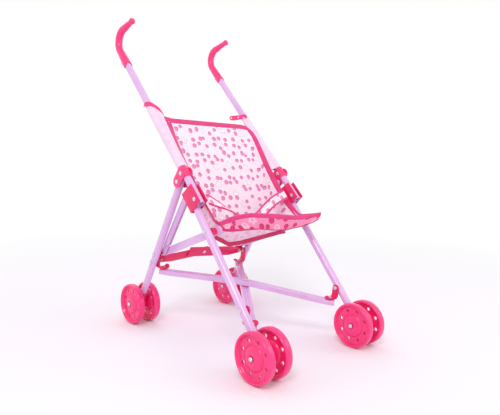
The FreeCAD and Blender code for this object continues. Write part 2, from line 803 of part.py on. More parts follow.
def lock_lug(side):
    """An angle bracket on the rear leg: a plate beside it and an arm across the levers' back."""
    name = f"lock_lug_{SIDE_NAMES[side]}"
    half = size("lug_arm_height") / 2
    behind = LUG_ARM_AT + size("lug_arm_wall")
    ear = size("rivet_head") / 2 + size("lug_wall")
    along = size("lever_on_rear_leg")
    lug = size("lug_on_rear_leg")
    beside = plate(f"{name}_plate", side, LUG_PLATE_NEAR, LUG_PLATE_FAR, LEG_PIVOT, REAR_DOWN, corners_of(
        (lug - ear, -ear), (lug - ear, behind), (along + half, behind), (along + half, LUG_ARM_AT),
        (along - half, LUG_ARM_AT), (lug + ear, ear), (lug + ear, -ear)))
    arm = plate(f"{name}_arm", side, LEG_X - size("lug_arm_reach"), LUG_PLATE_FAR,
                LEG_PIVOT, REAR_DOWN, corners_of(
                    (along - half, LUG_ARM_AT), (along + half, LUG_ARM_AT),
                    (along + half, behind), (along - half, behind)))
    solid = joined(f"{name}_solid", [beside, arm])
    holes = [hole_across(f"{name}_plate_hole", LUG_PIN, side),
             lever_pin(f"{name}_lever_hole", side, PIN_RADIUS)]
    return publish(name, cut(name, solid, holes))


REAR_BACK = (-REAR_DOWN[1], REAR_DOWN[0])


def lever_layers():
    """Where the levers lie in front of the lug's arm: (right plate, left plate) back faces."""
    left_back = LUG_ARM_AT - size("lever_gap")
    right_back = left_back - size("lever_wall") - size("lever_gap")
    return right_back, left_back


def lever_pin(name, side, radius):
    right_back, left_back = lever_layers()
    back = right_back if side == RIGHT else left_back
    front = back - size("lever_wall") - size("lever_gap")
    start = spot(side * LEVER_X, step(LEVER_PIN, REAR_DOWN, 0, front))
    return rod(name, radius, LUG_ARM_AT + size("lug_arm_wall") - front, start, arrow(REAR_BACK))


def leg_rivets(side):
    """The rivets of one rear leg: lug, hook and lever pivot."""
    name = f"leg_rivets_{SIDE_NAMES[side]}"
    leg_outside = LEG_X + TUBE_RADIUS
    hook_inside = LEG_X - TUBE_RADIUS - size("rivet_gap") - size("hook_wall") - size("rivet_gap")
    lug = rod(f"{name}_lug_shank", PIN_RADIUS, leg_outside - LUG_PLATE_NEAR,
              spot(min(side * float(LUG_PLATE_NEAR), side * float(leg_outside)), LUG_PIN), ACROSS)
    lug_head = cross_pin(f"{name}_lug_head", HEAD_RADIUS, leg_outside, leg_outside + HEAD_HEIGHT,
                         LUG_PIN, side)
    behind = LUG_ARM_AT + size("lug_arm_wall")
    lever = lever_pin(f"{name}_lever_shank", side, PIN_RADIUS)
    right_back, left_back = lever_layers()
    front = (right_back if side == RIGHT else left_back) - size("lever_wall") - size("lever_gap")
    head_at = step(LEVER_PIN, REAR_DOWN, 0, front - HEAD_HEIGHT)
    lever_head = rod(f"{name}_lever_head", HEAD_RADIUS, HEAD_HEIGHT, spot(side * LEVER_X, head_at),
                     arrow(REAR_BACK))
    lever_tail = rod(f"{name}_lever_tail", HEAD_RADIUS, HEAD_HEIGHT,
                     spot(side * LEVER_X, step(LEVER_PIN, REAR_DOWN, 0, behind)), arrow(REAR_BACK))
    return publish(name, grouped(name, [
        joined(f"{name}_lug", [lug, lug_head]),
        joined(f"{name}_lever", [lever, lever_head, lever_tail]),
        cross_rivet(f"{name}_hook", hook_inside, leg_outside, REAR_HOOK_PIN, side),
    ]))


# ---- lock levers ----


def lever_frame(side, back):
    """A placement in the plane of the levers: x runs inward, y up the leg, z backward."""
    inward = FreeCAD.Vector(-side, 0, 0)
    backward = arrow(REAR_BACK)
    turn = FreeCAD.Rotation(inward, backward.cross(inward), backward, "ZXY")
    depth = back - size("lever_wall")
    return FreeCAD.Placement(spot(side * LEVER_X, step(LEVER_PIN, REAR_DOWN, 0, depth)), turn)


def lock_lever(side):
    """Half of the lock bar. The two halves meet at a point a little above their pivots."""
    name = f"lock_lever_{SIDE_NAMES[side]}"
    right_back, left_back = lever_layers()
    back = right_back if side == RIGHT else left_back
    frame = lever_frame(side, back)
    up = 1 if side == RIGHT else -1
    # seen from the back of the bar, y points up the leg on one side and down it on the other
    end_half = size("lever_channel") / 2 if side == RIGHT else size("lever_large") / 2
    lap = size("lever_lap") if side == RIGHT else end_half
    small = size("lever_small") / 2
    shoulder = size("lever_shoulder")
    run = root(LEVER_X * LEVER_X + size("lever_rise") * size("lever_rise"))
    slope = (LEVER_X / run, up * size("lever_rise") / run)
    local = FreeCAD.Rotation(FreeCAD.Vector(0, 0, 1), degrees(slope))
    turned = frame.multiply(FreeCAD.Placement(FreeCAD.Vector(), local))
    owner = body(f"{name}_body", turned)
    outline = sketch_on(owner, "XY_Plane", f"{name}_outline")
    polygon(outline, [
        (0, -small), (shoulder, -end_half), (run + lap, -end_half), (run + lap, end_half),
        (shoulder, end_half), (0, small)])
    pad(owner, f"{name}_pad", outline, size("lever_wall"))
    boss = rod(f"{name}_boss", small, size("lever_wall"), turned.Base, arrow(REAR_BACK))
    hole = rod(f"{name}_hole", PIN_RADIUS + size("running_gap"), size("lever_wall"), turned.Base,
               arrow(REAR_BACK))
    tools = [hole]
    if side == RIGHT:
        centre = turned.multVec(FreeCAD.Vector(float(run), 0, 0))
        tools.append(rod(f"{name}_tip_hole", PIN_RADIUS, size("lever_wall"), centre, arrow(REAR_BACK)))
        front = centre - arrow(REAR_BACK).multiply(float(HEAD_HEIGHT))
        publish("lock_rivet", joined("lock_rivet", [
            rod("lock_rivet_shank", PIN_RADIUS, size("lever_wall"), centre, arrow(REAR_BACK)),
            rod("lock_rivet_head", HEAD_RADIUS, HEAD_HEIGHT, front, arrow(REAR_BACK)),
        ]))
    return publish(name, cut(name, joined(f"{name}_solid", [owner, boss]), tools))


# ---- cross bars and their hooks ----


def bar_levels():
    """How far the upper and the lower bar's middle lie from the plane between them."""
    half = (size("bar_thickness") + size("bar_gap")) / 2
    return half, -half


def in_bar_plane(pin, pivot):
    """A bar's pivot as seen from its hook's pin: along the bars' plane, and above it."""
    run = pivot[0] - pin[0]
    rise = pivot[1] - pin[1]
    along = run * BAR_PLANE[0] + rise * BAR_PLANE[1]
    above = rise * BAR_PLANE[0] - run * BAR_PLANE[1]
    return along, above


def hook(name, side, pin, pivot, pivot_x, level, gap, bore):
    """A plate beside the leg, a flange that turns inward over the bar, and a raised finger."""
    along, above = in_bar_plane(pin, pivot)
    half = size("hook_width") / 2
    under = above + level + size("bar_thickness") / 2 + gap
    top = under + size("hook_flange")
    far = LEG_X - TUBE_RADIUS - size("rivet_gap")
    near = far - size("hook_wall")
    reach = LEG_X - TUBE_RADIUS - size("hook_reach")
    finger = top + size("hook_finger")
    stem = plate(f"{name}_stem", side, near, far, pin, BAR_PLANE, corners_of(
        (along - half, under), (along + half, under), (half, 0), (-half, 0)))
    eye = cross_pin(f"{name}_eye", half, near, far, pin, side)
    flange = plate(f"{name}_flange", side, reach, far, pin, BAR_PLANE, corners_of(
        (along - half, under), (along + half, under), (along + half, top), (along - half, top)))
    curl = plate(f"{name}_finger", side, reach, reach + size("hook_flange"), pin, BAR_PLANE, corners_of(
        (along - half, under), (along + half, under), (along + half, finger), (along - half, finger)))
    upward = arrow((-BAR_PLANE[1], BAR_PLANE[0]))
    seat = step(pin, BAR_PLANE, along, under)
    pin_hole = rod(f"{name}_bar_hole", bore, size("hook_flange"), spot(side * pivot_x, seat), upward)
    eye_hole = hole_across(f"{name}_eye_hole", pin, side, PIN_RADIUS + size("running_gap"))
    solid = joined(f"{name}_solid", [stem, eye, flange, curl])
    return publish(name, cut(name, solid, [pin_hole, eye_hole]))


def bar_direction(side):
    """From the front pivot on one side to the rear pivot on the other."""
    width = FRONT_BAR_X + REAR_BAR_X
    length = root(BAR_REACH * BAR_REACH + width * width)
    across = -side * float(width)
    flat = arrow(BAR_PLANE).multiply(float(BAR_REACH))
    return (FreeCAD.Vector(across, 0, 0) + flat).normalize(), length


def bar_frame(side, level):
    """x runs along the bar, z is the normal of the bars' plane."""
    direction, _ = bar_direction(side)
    normal = arrow((-BAR_PLANE[1], BAR_PLANE[0]))
    turn = FreeCAD.Rotation(direction, normal.cross(direction), normal, "ZXY")
    start = step(FRONT_BAR, BAR_PLANE, 0, level - size("bar_thickness") / 2)
    return FreeCAD.Placement(spot(side * FRONT_BAR_X, start), turn)


def crossing():
    """How far along a bar, from its front pivot, the two bars cross."""
    _, length = bar_direction(LEFT)
    return length * FRONT_BAR_X / (FRONT_BAR_X + REAR_BAR_X)


def bar_rod(name, frame, along, radius, low, high):
    start = frame.multVec(FreeCAD.Vector(float(along), 0, float(low)))
    upward = frame.Rotation.multVec(FreeCAD.Vector(0, 0, 1))
    return rod(name, radius, high - low, start, upward)


def bar_side(length, low):
    """The side view of a bar's lower edge: flat at the three pivots, higher at the crossing."""
    flat = size("bar_flat")
    middle = crossing()
    high = low + size("bar_bow")
    return [(-size("bar_front_overrun"), low), (flat, low), (middle - flat, high),
            (middle + flat, high), (length - flat, low), (length + size("bar_rear_overrun"), low)]


def bent_strip(name, frame, length, low, high, near, far):
    """A strip along a bar, between two heights and two distances from the bar's middle line."""
    turn = FreeCAD.Placement(FreeCAD.Vector(0, float(far), 0), FreeCAD.Rotation(FreeCAD.Vector(1, 0, 0), 90))
    owner = body(name, frame.multiply(turn))
    outline = sketch_on(owner, "XY_Plane", f"{name}_outline")
    polygon(outline, bar_side(length, low) + bar_side(length, high)[::-1])
    pad(owner, f"{name}_pad", outline, far - near)
    return owner


def cross_bar(side, level):
    """A flat bar, bent upward where the bars cross, with two grooves along its top."""
    name = f"cross_bar_{SIDE_NAMES[side]}"
    frame = bar_frame(side, level)
    _, length = bar_direction(side)
    half = size("bar_width") / 2
    thick = size("bar_thickness")
    zero = as_size(0)
    bar = bent_strip(f"{name}_strip", frame, length, zero, thick, -half, half)
    top = thick + size("bar_bow")
    tools = [
        bar_rod(f"{name}_front_hole", frame, 0, PIN_RADIUS, zero, top),
        bar_rod(f"{name}_rear_hole", frame, length, PIN_RADIUS, zero, top),
        bar_rod(f"{name}_mid_hole", frame, crossing(), PIN_RADIUS, zero, top),
    ]
    floor = thick - size("bar_groove_depth")
    wide = size("bar_groove") / 2
    for k, middle in enumerate((-size("bar_groove_at"), size("bar_groove_at"))):
        tools.append(bent_strip(f"{name}_groove_{k}", frame, length, floor, top,
                                middle - wide, middle + wide))
    return publish(name, cut(name, bar, tools))


def bar_rivets(side, level):
    """Rivets that stay in one bar: the front one holds the hook, the others lie flush inside."""
    name = f"bar_rivets_{SIDE_NAMES[side]}"
    frame = bar_frame(side, level)
    _, length = bar_direction(side)
    zero = as_size(0)
    thick = size("bar_thickness")
    bow = size("bar_bow")
    over_hook = thick + size("bar_flange_gap") + size("hook_flange") + size("rivet_gap")
    front = joined(f"{name}_front", [
        bar_rod(f"{name}_front_shank", frame, 0, PIN_RADIUS, zero, over_hook),
        bar_rod(f"{name}_front_low", frame, 0, HEAD_RADIUS, -HEAD_HEIGHT, zero),
        bar_rod(f"{name}_front_top", frame, 0, HEAD_RADIUS, over_hook, over_hook + HEAD_HEIGHT),
    ])
    rear = joined(f"{name}_rear", [
        bar_rod(f"{name}_rear_shank", frame, length, PIN_RADIUS, zero, thick),
        bar_rod(f"{name}_rear_low", frame, length, HEAD_RADIUS, -HEAD_HEIGHT, zero),
    ])
    head = bow + thick if level.number > 0 else bow - HEAD_HEIGHT
    middle = joined(f"{name}_middle", [
        bar_rod(f"{name}_middle_shank", frame, crossing(), PIN_RADIUS, bow, bow + thick),
        bar_rod(f"{name}_middle_head", frame, crossing(), HEAD_RADIUS, head, head + HEAD_HEIGHT),
    ])
    return publish(name, grouped(name, [front, rear, middle]))


def bar_spacer(side, level):
    """The washer on the lower bar where the bars cross."""
    frame = bar_frame(side, level)
    low = size("bar_thickness") + size("bar_bow")
    high = low + size("bar_gap") - size("rivet_gap")
    return publish("bar_spacer", bar_rod("bar_spacer", frame, crossing(), size("bar_width") / 2, low, high))


# ---- fabric, as plain closed solids ----


def sleeve(side):
    name = f"seat_sleeve_{SIDE_NAMES[side]}"
    start = spot(side * LEG_X, step(ELBOW, HANDLE_UP, size("sleeve_from")))
    length = size("sleeve_to") - size("sleeve_from")
    inside = TUBE_RADIUS + size("cloth_gap")
    outer = rod(f"{name}_outer", inside + size("cloth") / 2, length, start, arrow(HANDLE_UP))
    bore = rod(f"{name}_bore", inside, length, start, arrow(HANDLE_UP))
    return cut(name, outer, [bore])


WORLD = (as_size(1), as_size(0))
ORIGIN = (as_size(0), as_size(0))


def gusset(side):
    far = LEG_X - size("gusset_inset") + size("cloth") / 2
    near = far - size("cloth")
    return plate(f"seat_gusset_{SIDE_NAMES[side]}", side, near, far, ORIGIN, WORLD, corners_of(
        (size("back_top_y"), size("back_top_z")), (size("fold_y"), size("fold_z")),
        (size("tip_y"), size("tip_z"))))


def seat_side(side):
    """The sleeve on the handle tube and the triangular panel below it."""
    name = f"seat_side_{SIDE_NAMES[side]}"
    return publish(name, grouped(name, [sleeve(side), gusset(side)]))


def panel(name, start, end, seam=0):
    """A flat panel between the side panels, through two points of the side view."""
    half = LEG_X - size("seat_inset")
    direction, length = between(start, end)
    thick = size("cloth")
    owner = body(name, side_view(-half, start, direction))
    outline = sketch_on(owner, "XY_Plane", f"{name}_outline")
    polygon(outline, [(seam, -thick), (length, -thick), (length, 0), (seam, 0)])
    pad(owner, f"{name}_pad", outline, half * 2)
    return owner


def fabric():
    fold = (size("fold_y"), size("fold_z"))
    edge = (size("front_edge_y"), size("front_edge_z"))
    low_edge = (size("front_edge_y"), size("front_edge_z") - size("valance_drop"))
    seam = size("cloth") * 2
    publish("seat_back", panel("seat_back", (size("back_top_y"), size("back_top_z")), fold))
    publish("seat_base", panel("seat_base", fold, edge, seam))
    publish("seat_skirt", grouped("seat_skirt", [
        panel("skirt_front", edge, low_edge, seam),
        panel("skirt_under", low_edge, (size("hem_y"), size("hem_z")), seam),
    ]))
    lap_belt()


def lap_belt():
    """A strap that droops from the gussets to the middle of the seat."""
    half = LEG_X - size("seat_inset")
    side_z = size("belt_side_z")
    middle_z = size("belt_middle_z")
    edge = size("belt_width") / 2
    turn = FreeCAD.Rotation(FreeCAD.Vector(1, 0, 0), 90)
    owner = body("lap_belt", FreeCAD.Placement(FreeCAD.Vector(0, float(size("belt_y")), 0), turn))
    outline = sketch_on(owner, "XY_Plane", "lap_belt_outline")
    polygon(outline, [(-half, side_z - edge), (0, middle_z - edge), (half, side_z - edge),
                      (half, side_z + edge), (0, middle_z + edge), (-half, side_z + edge)])
    pad(owner, "lap_belt_pad", outline, size("cloth"))
    return publish("lap_belt", owner)


# ---- assembly ----


def wheel_pair(prefix, side, point):
    half = size("wheel_spread") / 2
    wheel(f"{prefix}_wheel_{SIDE_NAMES[side]}_outer", side * (LEG_X + half), point)
    wheel(f"{prefix}_wheel_{SIDE_NAMES[side]}_inner", side * (LEG_X - half), point)


def side_frame(side):
    label = SIDE_NAMES[side]
    front_leg(side)
    foot(f"front_foot_{label}", side, FRONT_AXLE, LEG_UP)
    axle(f"front_axle_{label}", side, FRONT_AXLE)
    wheel_pair("front", side, FRONT_AXLE)
    handle_tube(side)
    handle_grip(side)
    elbow_channel(side)
    leg_clamp(side)
    seat_clip(side)
    seat_rail(side)
    seat_strut(side)
    rail_spacers(side)
    frame_rivets(side)
    seat_side(side)


def rear_side(side):
    label = SIDE_NAMES[side]
    upward = (-REAR_DOWN[0], -REAR_DOWN[1])
    rear_leg(side)
    foot(f"rear_foot_{label}", side, REAR_AXLE, upward)
    axle(f"rear_axle_{label}", side, REAR_AXLE)
    wheel_pair("rear", side, REAR_AXLE)
    lock_lug(side)
    leg_rivets(side)
    lock_lever(side)


def cross_frame(side, level, opposite_level):
    """One bar with the hook at its front end, and the hook under the other bar's rear end."""
    label = SIDE_NAMES[side]
    cross_bar(side, level)
    bar_rivets(side, level)
    hook(f"front_hook_{label}", side, FRONT_HOOK_PIN, FRONT_BAR, FRONT_BAR_X, level,
         size("bar_flange_gap"), PIN_RADIUS + size("running_gap"))
    hook(f"rear_hook_{label}", side, REAR_HOOK_PIN, REAR_BAR, REAR_BAR_X, opposite_level,
         size("bar_open_gap"), PIN_RADIUS)


for side in (LEFT, RIGHT):
    side_frame(side)
    rear_side(side)
upper_level, lower_level = bar_levels()
cross_frame(LEFT, lower_level, upper_level)
cross_frame(RIGHT, upper_level, lower_level)
bar_spacer(LEFT, lower_level)
fabric()
doc.recompute()

failed = [thing.Name for thing in doc.Objects if {"Invalid", "Error"} & set(thing.State)]
if failed:
    raise RuntimeError(f"failed objects: {failed}")
for thing in made:
    if thing.Shape.isNull() or not thing.Shape.isValid():
        raise RuntimeError(f"{thing.Label} has no valid shape")

os.makedirs("parts", exist_ok=True)
for thing in made:
    thing.Shape.exportStep(f"parts/{thing.Label}.step")
print(len(made), "parts written")
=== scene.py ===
import bmesh
import bpy
import json
from math import acos, atan2, cos, exp, hypot, pi, radians, sin
from mathutils import Matrix, Vector, noise


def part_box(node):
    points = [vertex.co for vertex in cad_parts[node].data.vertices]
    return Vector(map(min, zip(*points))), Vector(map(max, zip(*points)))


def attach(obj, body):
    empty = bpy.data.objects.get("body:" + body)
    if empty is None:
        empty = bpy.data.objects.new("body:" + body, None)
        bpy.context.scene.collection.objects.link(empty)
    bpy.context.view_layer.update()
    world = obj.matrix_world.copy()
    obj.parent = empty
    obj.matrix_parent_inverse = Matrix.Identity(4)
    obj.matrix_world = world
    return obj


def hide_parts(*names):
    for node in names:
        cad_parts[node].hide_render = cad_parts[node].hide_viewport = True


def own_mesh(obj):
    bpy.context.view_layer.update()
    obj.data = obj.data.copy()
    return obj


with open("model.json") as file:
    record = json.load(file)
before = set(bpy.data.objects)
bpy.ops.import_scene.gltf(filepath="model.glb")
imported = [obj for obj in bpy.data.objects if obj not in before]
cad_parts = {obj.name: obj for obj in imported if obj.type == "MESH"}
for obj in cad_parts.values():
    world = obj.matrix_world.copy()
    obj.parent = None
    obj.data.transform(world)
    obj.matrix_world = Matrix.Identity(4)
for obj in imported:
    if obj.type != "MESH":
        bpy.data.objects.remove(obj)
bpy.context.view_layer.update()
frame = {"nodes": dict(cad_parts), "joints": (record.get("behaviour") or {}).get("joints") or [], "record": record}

# Folding doll stroller, metres. It faces -Y, left is -X, the floor is z = 0.

bodies = frame["record"]["behaviour"]["bodies"]
bodyOf = {node: body for body, members in bodies.items() for node in members}
joints = {joint["name"]: joint for joint in frame["joints"]}
sides = {"left": -1, "right": 1}


def jointPlace(name):
    return Vector(joints[name]["pos_m"])


# the camera: where it stands, how it is turned, and its lens

viewFrom = {
    "place": (-0.5655, -0.6388, 0.2969),
    "heading": 42.08,  # degrees to the right of straight back
    "down": 4.98,
    "roll": 1.12,
    "lens": 35.48,
    "sensor": 36.0,
}

cameraData = bpy.data.cameras.new("camera")
cameraData.sensor_fit = "HORIZONTAL"
cameraData.sensor_width = viewFrom["sensor"]
cameraData.lens = viewFrom["lens"]
cameraData.clip_start = 0.01
camera = bpy.data.objects.new("camera", cameraData)
bpy.context.scene.collection.objects.link(camera)
camera.matrix_world = (
    Matrix.Translation(viewFrom["place"])
    @ Matrix.Rotation(-radians(viewFrom["heading"]), 4, "Z")
    @ Matrix.Rotation(radians(90 - viewFrom["down"]), 4, "X")
    @ Matrix.Rotation(radians(viewFrom["roll"]), 4, "Z")
)
bpy.context.scene.camera = camera
print("camera set")


# node groups: small patterns that several materials share


def startGroup(name, inputs, outputs):
    group = bpy.data.node_groups.new(name, "ShaderNodeTree")
    for label, kind, value in inputs:
        made = group.interface.new_socket(name=label, in_out="INPUT", socket_type="NodeSocket" + kind)
        if value is not None:
            made.default_value = value
    for label, kind in outputs:
        group.interface.new_socket(name=label, in_out="OUTPUT", socket_type="NodeSocket" + kind)
    return group, group.nodes.new("NodeGroupInput"), group.nodes.new("NodeGroupOutput")


def calc(tree, operation, first, second=None, third=None):
    node = tree.nodes.new("ShaderNodeMath")
    node.operation = operation
    for slot, value in zip(node.inputs, (first, second, third)):
        feed(tree, slot, value)
    return node.outputs[0]


def calcVector(tree, operation, first, second=None):
    node = tree.nodes.new("ShaderNodeVectorMath")
    node.operation = operation
    feed(tree, node.inputs[0], first)
    feed(tree, node.inputs[1], second)
    return node.outputs["Value" if operation in ("LENGTH", "DISTANCE") else "Vector"]


def feed(tree, slot, value):
    if value is None:
        return
    if isinstance(value, bpy.types.NodeSocket):
        tree.links.new(value, slot)
    else:
        slot.default_value = value


def mixColour(tree, share, first, second):
    node = tree.nodes.new("ShaderNodeMix")
    node.data_type = "RGBA"
    feed(tree, node.inputs["Factor"], share)
    feed(tree, node.inputs[6], first)
    feed(tree, node.inputs[7], second)
    return node.outputs[2]


def soften(tree, value, start, end, low=0.0, high=1.0):
    node = tree.nodes.new("ShaderNodeMapRange")
    node.interpolation_type = "SMOOTHSTEP"
    given = {"Value": value, "From Min": start, "From Max": end, "To Min": low, "To Max": high}
    for label, item in given.items():
        feed(tree, node.inputs[label], item)
    return node.outputs["Result"]


def noiseOf(tree, vector, scale, detail=2.0, roughness=0.5):
    node = tree.nodes.new("ShaderNodeTexNoise")
    feed(tree, node.inputs["Vector"], vector)
    node.inputs["Scale"].default_value = scale
    node.inputs["Detail"].default_value = detail
    node.inputs["Roughness"].default_value = roughness
    return node.outputs["Fac"]


def bumpOf(tree, height, strength, distance):
    node = tree.nodes.new("ShaderNodeBump")
    node.inputs["Strength"].default_value = strength
    node.inputs["Distance"].default_value = distance
    feed(tree, node.inputs["Height"], height)
    return node.outputs["Normal"]


def split(tree, vector):
    node = tree.nodes.new("ShaderNodeSeparateXYZ")
    feed(tree, node.inputs[0], vector)
    return node.outputs[0], node.outputs[1], node.outputs[2]


def buildHandled():
    # slow colour drift, fine grain and faint rub marks of a handled surface
    group, given, out = startGroup("handledSurface", [
        ("Vector", "Vector", None), ("Base", "Color", (1, 1, 1, 1)), ("Deep", "Color", (1, 1, 1, 1)),
        ("Rough", "Float", 0.3), ("Grain", "Float", 900.0), ("Scuffs", "Float", 0.5),
    ], [("Color", "Color"), ("Roughness", "Float"), ("Height", "Float")])
    drift = noiseOf(group, given.outputs["Vector"], 22.0, 3.0)
    grain = group.nodes.new("ShaderNodeTexNoise")
    feed(group, grain.inputs["Vector"], given.outputs["Vector"])
    feed(group, grain.inputs["Scale"], given.outputs["Grain"])
    stretched = calcVector(group, "MULTIPLY", given.outputs["Vector"], (1.0, 1.0, 0.12))
    marks = soften(group, noiseOf(group, stretched, 420.0, 5.0, 0.65), 0.60, 0.72)
    marks = calc(group, "MULTIPLY", marks, given.outputs["Scuffs"])
    tone = soften(group, drift, 0.35, 0.75, 0.0, 0.55)
    base = mixColour(group, tone, given.outputs["Base"], given.outputs["Deep"])
    pale = mixColour(group, calc(group, "MULTIPLY", marks, 0.16), base, (1, 1, 1, 1))
    feed(group, out.inputs["Color"], pale)
    rough = calc(group, "MULTIPLY_ADD", drift, 0.10, given.outputs["Rough"])
    rough = calc(group, "SUBTRACT", rough, 0.05)
    feed(group, out.inputs["Roughness"], calc(group, "MULTIPLY_ADD", marks, 0.22, rough))
    feed(group, out.inputs["Height"], calc(group, "MULTIPLY_ADD", marks, -0.4, grain.outputs["Fac"]))
    return group


def buildWeave():
    # over-and-under threads on a piece's own UV map, in metres
    group, given, out = startGroup("threads", [
        ("Vector", "Vector", None), ("Thread", "Float", 0.00055), ("Slub", "Float", 0.35),
    ], [("Height", "Float"), ("Shade", "Float")])
    across, along, _ = split(group, given.outputs["Vector"])
    turn = calc(group, "DIVIDE", pi, given.outputs["Thread"])
    first = calc(group, "SINE", calc(group, "MULTIPLY", across, turn))
    second = calc(group, "SINE", calc(group, "MULTIPLY", along, turn))
    woven = calc(group, "MULTIPLY", first, second)
    stretched = calcVector(group, "MULTIPLY", given.outputs["Vector"], (1.0, 7.0, 1.0))
    slub = noiseOf(group, stretched, 260.0, 3.0)
    high = calc(group, "MULTIPLY", woven, 0.5)
    feed(group, out.inputs["Height"], calc(group, "MULTIPLY_ADD", slub, given.outputs["Slub"], high))
    # Shade: streaks of thread tone from the slub, plus painted shade of the over-and-under weave
    shade = calc(group, "MULTIPLY_ADD", woven, 0.1, 0.3)
    feed(group, out.inputs["Shade"], calc(group, "MULTIPLY_ADD", slub, 0.4, shade))
    return group


def buildDotsAndFlowers():
    # a sprinkle of dots, with outlined flowers and hearts in the larger cells between them
    group, given, out = startGroup("dotsAndFlowers", [
        ("Vector", "Vector", None), ("Ground", "Color", (1, 1, 1, 1)), ("Dot", "Color", (1, 0, 0, 1)),
        ("Shadow", "Color", (1, 0, 0, 1)), ("Line", "Color", (0, 0, 0, 1)), ("Petal", "Color", (1, 1, 1, 1)),
        ("DotRadius", "Float", 0.0036), ("DotEvery", "Float", 0.0138), ("FlowerEvery", "Float", 0.036),
    ], [("Color", "Color")])

    def cells(vector, every, loose):
        node = group.nodes.new("ShaderNodeTexVoronoi")
        node.voronoi_dimensions = "2D"
        feed(group, node.inputs["Vector"], vector)
        feed(group, node.inputs["Scale"], calc(group, "DIVIDE", 1.0, every))
        node.inputs["Randomness"].default_value = loose
        return node.outputs["Position"], node.outputs["Color"]

    place = given.outputs["Vector"]
    flowerAt, flowerPick = cells(place, given.outputs["FlowerEvery"], 0.62)
    away = calcVector(group, "SUBTRACT", place, flowerAt)
    x, y, _ = split(group, away)
    _, pickGreen, pickBlue = split(group, flowerPick)
    far = calcVector(group, "LENGTH", away)
    angle = calc(group, "ADD", calc(group, "ARCTAN2", y, x), calc(group, "MULTIPLY", pickBlue, 6.28))
    fivefold = calc(group, "COSINE", calc(group, "MULTIPLY", angle, 5.0))
    petals = calc(group, "MULTIPLY_ADD", fivefold, 0.0014, 0.0054)
    flower = calc(group, "SUBTRACT", far, petals)  # below zero inside the flower
    hx = calc(group, "DIVIDE", x, 0.0047)
    hy = calc(group, "DIVIDE", y, 0.0047)
    lobe = calc(group, "MULTIPLY", calc(group, "POWER", calc(group, "ABSOLUTE", hx), 0.667), hy)
    disk = calc(group, "MULTIPLY_ADD", hx, hx, calc(group, "MULTIPLY", hy, hy))
    heart = calc(group, "SUBTRACT", disk, calc(group, "ADD", lobe, 1.0))
    heart = calc(group, "MULTIPLY", heart, 0.0030)
    isHeart = calc(group, "GREATER_THAN", pickGreen, 0.62)
    heart = calc(group, "MULTIPLY", heart, isHeart)
    flower = calc(group, "MULTIPLY", flower, calc(group, "SUBTRACT", 1.0, isHeart))
    edge = calc(group, "ADD", heart, flower)
    line = soften(group, calc(group, "ABSOLUTE", edge), 0.00020, 0.00062, 1.0, 0.0)
    inside = soften(group, edge, -0.0002, 0.0002, 1.0, 0.0)
    fromEye = calc(group, "ABSOLUTE", calc(group, "SUBTRACT", far, 0.0012))
    eye = soften(group, fromEye, 0.0002, 0.0006, 1.0, 0.0)

    dotAt, dotPick = cells(place, given.outputs["DotEvery"], 0.72)
    nearFlower, _ = cells(dotAt, given.outputs["FlowerEvery"], 0.62)
    clear = calc(group, "GREATER_THAN", calcVector(group, "DISTANCE", dotAt, nearFlower), 0.0088)
    fromDot = calcVector(group, "SUBTRACT", place, dotAt)
    dotSize, _, _ = split(group, dotPick)
    spread = calc(group, "MULTIPLY_ADD", dotSize, 0.25, 0.85)
    radius = calc(group, "MULTIPLY", given.outputs["DotRadius"], spread)
    dotEdge = calc(group, "SUBTRACT", calcVector(group, "LENGTH", fromDot), radius)
    dot = calc(group, "MULTIPLY", soften(group, dotEdge, -0.00025, 0.00025, 1.0, 0.0), clear)
    offset = calcVector(group, "LENGTH", calcVector(group, "SUBTRACT", fromDot, (-0.0011, 0.0011, 0.0)))
    crescent = soften(group, calc(group, "SUBTRACT", offset, radius), -0.0008, 0.0004)

    filled = calc(group, "MULTIPLY", inside, 0.9)
    colour = mixColour(group, filled, given.outputs["Ground"], given.outputs["Petal"])
    colour = mixColour(group, calc(group, "MULTIPLY", eye, 0.7), colour, given.outputs["Dot"])
    colour = mixColour(group, calc(group, "MULTIPLY", line, 0.75), colour, given.outputs["Line"])
    ink = mixColour(group, crescent, given.outputs["Dot"], given.outputs["Shadow"])
    feed(group, out.inputs["Color"], mixColour(group, dot, colour, ink))
    return group


handled = buildHandled()
threads = buildWeave()
dotsAndFlowers = buildDotsAndFlowers()
print("pattern groups built")


# materials


def startMaterial(name):
    material = bpy.data.materials.new(name)
    material.use_nodes = True
    tree = material.node_tree
    return material, tree, tree.nodes["Principled BSDF"]


def place(tree, group, **values):
    node = tree.nodes.new("ShaderNodeGroup")
    node.node_tree = group
    for label, value in values.items():
        feed(tree, node.inputs[label], value)
    return node


def whereOn(tree, output="Object"):
    return tree.nodes.new("ShaderNodeTexCoord").outputs[output]


def srgb(red, green, blue):
    def linear(part):
        part = part / 255
        return part / 12.92 if part <= 0.04045 else ((part + 0.055) / 1.055) ** 2.4
    return (linear(red), linear(green), linear(blue), 1.0)


hardFinishes = {
    # base, deeper tone, roughness, grain per metre, scuffs, bump, coat, coat roughness
    "pinkPlastic": (srgb(250, 46, 128), srgb(240, 30, 112), 0.30, 1500.0, 0.45, 0.05, 0.35, 0.16),
    "deepPinkPlastic": (srgb(238, 26, 104), srgb(222, 16, 90), 0.34, 1500.0, 0.5, 0.06, 0.2, 0.2),
    "lilacPaint": (srgb(228, 184, 232), srgb(216, 166, 224), 0.24, 700.0, 0.5, 0.04, 0.6, 0.10),
}


